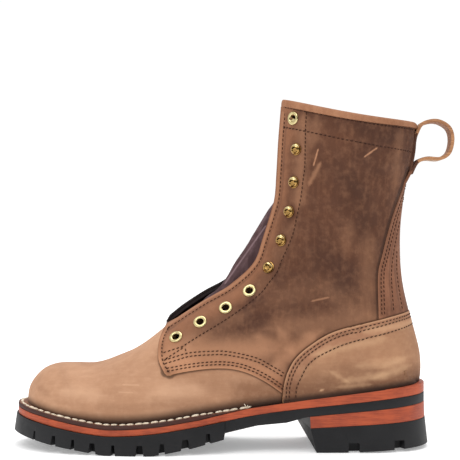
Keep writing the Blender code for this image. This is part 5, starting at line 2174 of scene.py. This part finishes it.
    @staticmethod
    def block(middle: Triple, size: Triple, turn: float) -> Piece:
        """Box cutter at a place of the last's frame, in millimetres.

        Args:
            middle: its middle.
            size: its sides.
            turn: turn about Z.

        Returns:
            The cutter.
        """
        Bench.start()
        bpy.ops.mesh.primitive_cube_add(size=1, location=tuple(metres(np.array(middle))),
                                        rotation=(0, 0, turn))
        cutter = bpy.context.object
        cutter.scale = tuple(np.array(size) * MM)
        Bench.settle()
        return cutter

    def heel_places(self, low: float, high: float) -> Picking:
        """Places round the heel from its breast to its back.

        Args:
            low: share of the breast's slant at the bottom.
            high: share at the top.

        Returns:
            Places by share, side and height.
        """
        def places(u: Array, side: Array, level: Array) -> Array:
            """Places at shares u.

            Args:
                u: shares along the piece.
                side: -1 outer, 1 inner.
                level: heights from 0 to 1.

            Returns:
                Rows of the table.
            """
            breast = np.where(side < 0, self.breast[0], self.breast[1])
            fall = low + (high - low) * level
            slant = np.where(side < 0, self.slant[0] * fall ** 3, self.slant[1] * fall)
            start = self.last.seam_place(breast + slant)
            share = 1 - (1 - u) ** 1.8
            return start + (HEEL_ROW - start) * share

        return places

    def heel(self) -> None:
        """Leather heel stack and its notched rubber lift."""
        def bed(x: Array) -> Array:
            """Joint of stack and lift by x."""
            return np.interp(x, STACK_X, STACK_Z)

        stack = self.plate("heel_layers", self.heel_places(self.heel_split, 0.0),
                           rounded(*self.stack_edge), bed,
                           lambda x: np.interp(x, WAIST_X, WAIST_Z) - SKIM, None, self.heel_columns)
        Bench.close(stack)
        Bench.smooth(stack, 35)
        Bench.paint(stack, 1, lambda spots, ways, now:
                    (ways[:, 0] < -0.5) & (spots[:, 0] < self.breast_end))
        Bench.hand_over(stack, "sole_leather", (STACK, RUBBER), ("heel_stack",))
        lift = self.plate("heel_rubber", self.heel_places(1.0, self.heel_split),
                          rounded(*self.lift_edge),
                          lambda x: np.interp(x, TOP_PIECE_X, TOP_PIECE_Z),
                          lambda x: bed(x) - SKIM, None, self.heel_columns)
        Bench.close(lift)
        cutters = [self.notch(x, side, wide, self.notch_reach, high, 0.0, self.notch_narrow)
                   for x, wide, high in HEEL_NOTCHES for side in Side]
        Bench.carve(lift, cutters, self.edge_round)
        Bench.hand_over(lift, "rubber", (RUBBER,), ("heel_lift",))

    def build(self) -> None:
        """Make every layer of the sole."""
        self.midsole()
        self.welt()
        self.welt_thread()
        self.outsole()
        self.heel()


@dataclass
class Hardware:
    """Brass eyelets and speed hooks down both eyestays."""

    last: Last
    ring: float = 3.8
    ring_thick: float = 1.2
    button: float = 4.4
    dish: Pair = (0.4, -0.6)
    dish_wide: float = 2.3
    dish_slope: Pair = (0.7, 0.9)
    dish_deep: float = 2.2
    dish_high: float = 3.6
    barrel_long: float = 4.8
    barrel_middle: float = -2.2
    barrel_wall: float = 0.3
    slot_at: Triple = (3.4, 0.0, 1.4)
    slot_size: Triple = (9.0, 12.0, 1.0)
    hook_raise: float = 0.2
    flange_flat: float = 0.6
    flange_high: float = 0.0004
    dome_flat: float = 0.86
    dome_high: float = 0.0002
    edge_round: float = 0.00018

    def place(self, name: str, shape: Piece, frame: Matrix, finishes: tuple[Finish, ...],
              node: str) -> None:
        """Set a copy of a shape on the leather.

        Args:
            name: name of the piece.
            shape: what is copied.
            frame: its seat.
            finishes: its surfaces.
            node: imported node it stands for.
        """
        mesh = shape.data.copy()
        mesh.transform(frame)
        piece = Bench.link(name, mesh)
        Bench.hand_over(piece, "brass", finishes, (node,))

    def eyelet(self) -> Piece:
        """Flanged ring with its barrel.

        Returns:
            The eyelet, at the origin.
        """
        Bench.start()
        bpy.ops.mesh.primitive_torus_add(major_radius=self.ring * MM, minor_radius=self.ring_thick * MM,
                                         major_segments=32, minor_segments=12)
        flange = bpy.context.object
        spots = Bench.points(flange) * np.array((1.0, 1.0, self.flange_flat))
        Bench.move(flange, spots + UP * self.flange_high)
        bpy.ops.mesh.primitive_cylinder_add(vertices=32, radius=(self.ring - self.ring_thick + 0.2) * MM,
                                            depth=self.barrel_long * MM,
                                            location=(0, 0, self.barrel_middle * MM),
                                            end_fill_type="NOTHING")
        barrel = bpy.context.object
        Bench.settle()
        Bench.modify(barrel, "SOLIDIFY", thickness=self.barrel_wall * MM, offset=1.0)
        shape = Bench.join("eyelet_shape", [flange, barrel])
        Bench.smooth(shape, 50)
        return shape

    def hook(self) -> Piece:
        """Domed speed hook, slotted from the rear and dished on top.

        Returns:
            The hook, with painted shade on its shadow side and in its dish as material 1 and a painted
            highlight on its crown as material 2.
        """
        Bench.start()
        bpy.ops.mesh.primitive_uv_sphere_add(segments=36, ring_count=20, radius=self.button * MM)
        dome = bpy.context.object
        spots = Bench.points(dome) * np.array((1.0, 1.0, self.dome_flat))
        spots[:, 2] = np.maximum(spots[:, 2], 0.0)
        Bench.move(dome, spots + UP * self.dome_high)
        Bench.weld(dome, 1e-6)
        bpy.ops.mesh.primitive_cube_add(size=1, location=tuple(MM * at for at in self.slot_at))
        slot = bpy.context.object
        slot.scale = tuple(MM * size for size in self.slot_size)
        Bench.settle()
        middle = np.array(self.dish) * MM
        bpy.ops.mesh.primitive_cone_add(vertices=32, radius1=(self.dish_wide - self.dish_slope[0]) * MM,
                                        radius2=(self.dish_wide + self.dish_slope[1]) * MM,
                                        depth=self.dish_deep * MM,
                                        location=(*middle, self.dish_high * MM))
        dish = bpy.context.object
        Bench.settle()
        Bench.carve(dome, (slot, dish), self.edge_round)

        def inside(spots: Array) -> Array:
            """Whether each face lies in the dish."""
            return np.linalg.norm(spots[:, :2] - middle, axis=1) < self.dish_wide * MM

        # Painted shade: the dish's upper wall and the dome's left, shadow side
        Bench.paint(dome, 1, lambda spots, ways, now: inside(spots) & (ways[:, 1] < -0.2))
        Bench.paint(dome, 1, lambda spots, ways, now: ~inside(spots) & (ways[:, 0] < -0.72))
        # Painted highlight on the crown
        Bench.paint(dome, 2, lambda spots, ways, now:
                    ~inside(spots) & (ways[:, 1] > 0.45) & (ways[:, 2] > 0.4))
        return dome

    def build(self) -> None:
        """Set every eyelet and hook."""
        eyelet = self.eyelet()
        hook = self.hook()
        half_turn = Matrix.Rotation(math.pi, 4, "Z")
        for side in Side:
            tag = side.name.lower()
            for i, spot in enumerate(EYELETS, 1):
                frame = self.last.seat(spot, side, QUARTER_TOP)
                self.place(f"brass_eyelet_{tag}_{i}", eyelet, frame, (PALE_BRASS_AND_GLINT,), f"eyelet_{tag}_{i}")
            for i, spot in enumerate(HOOKS, 1):
                frame = self.last.seat(spot, side, QUARTER_TOP + self.hook_raise)
                if side is Side.MEDIAL:
                    frame = frame @ half_turn
                self.place(f"brass_hook_{tag}_{i}", hook, frame, (BRASS, HOOK_SHADE, PALE_BRASS_AND_GLINT),
                           f"hook_{tag}_{i}")
        for shape in (eyelet, hook):
            bpy.data.objects.remove(shape)


@dataclass
class Studio:
    """Pale floor, soft light and the camera."""

    camera_height: float = 0.161
    camera_back: float = 1.0
    lens: float = 104.0
    sensor: float = 36.0
    floor_glow: float = 0.28
    daylight: float = 1.04

    def floor(self) -> None:
        """Pale floor."""
        Bench.start()
        bpy.ops.mesh.primitive_plane_add(size=12.0)
        floor = bpy.context.object
        floor.name = "floor"
        sheet = Finish("pale floor", (0.9, 0.9, 0.9), 0.8).material()
        Graph(sheet).set(Emission_Color=(1.0, 1.0, 1.0), Emission_Strength=self.floor_glow)
        floor.data.materials.append(sheet)
        floor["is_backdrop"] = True

    def flag(self) -> None:
        """Dark card behind the camera that only bright surfaces mirror."""
        Bench.start()
        bpy.ops.mesh.primitive_plane_add(size=1.0, location=(0.1, -1.8, 0.3),
                                         rotation=(math.pi / 2, 0, 0))
        card = bpy.context.object
        card.name = "flag"
        card.scale = (3.2, 1.5, 1.0)
        card.data.materials.append(Finish("black card", (0.01, 0.01, 0.01), 0.9).material())
        card.visible_camera = False
        card.visible_diffuse = False
        card.visible_shadow = False
        card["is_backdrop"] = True

    def lamp(self, name: str, place: Triple, size: float, power: float) -> None:
        """Square soft light that looks at the boot.

        Args:
            name: name of the light.
            place: where it stands.
            size: side of the square.
            power: watts.
        """
        light = bpy.data.lights.new(name, "AREA")
        light.size = size
        light.energy = power
        lamp = Bench.link(name, light)
        lamp.location = place
        lamp.rotation_euler = (Vector((0, 0, 0.1)) - Vector(place)).to_track_quat("-Z", "Y").to_euler()
        lamp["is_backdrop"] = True

    def build(self) -> None:
        """Set up floor, lights, world and camera."""
        self.floor()
        self.flag()
        self.lamp("key", (-0.6, -1.2, 1.6), 0.9, 8.0)
        self.lamp("top", (0.1, 0.2, 1.7), 1.2, 10.0)
        scene = bpy.context.scene
        world = bpy.data.worlds.new("studio")
        world.use_nodes = True
        sky = world.node_tree.nodes["Background"].inputs
        sky["Color"].default_value = (1, 1, 1, 1)
        sky["Strength"].default_value = self.daylight
        scene.world = world
        scene.view_settings.view_transform = "Standard"
        data = bpy.data.cameras.new("camera")
        data.lens = self.lens
        data.sensor_width = self.sensor
        camera = Bench.link("camera", data)
        camera.location = (-SHIFT[0] * MM, -self.camera_back - SHIFT[1] * MM, self.camera_height)
        camera.rotation_euler = (math.pi / 2, 0, 0)
        scene.camera = camera


def corners(box: tuple[Vector, Vector]) -> list[list[float]]:
    """A box as plain numbers."""
    return [[float(value) for value in corner] for corner in box]


def main() -> None:
    """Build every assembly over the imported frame."""
    logging.basicConfig(level=logging.INFO, format="%(name)s: %(message)s")
    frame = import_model()
    packed = corners(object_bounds())
    last = Last()
    Upper(last).build()
    Sole(last).build()
    Hardware(last).build()
    board = frame["nodes"]["insole"]
    board.data.materials.clear()
    board.data.materials.append(BOARD.material())
    Studio().build()
    {"cad": packed, "scene": corners(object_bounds())}


if __name__ == "__main__":
    main()
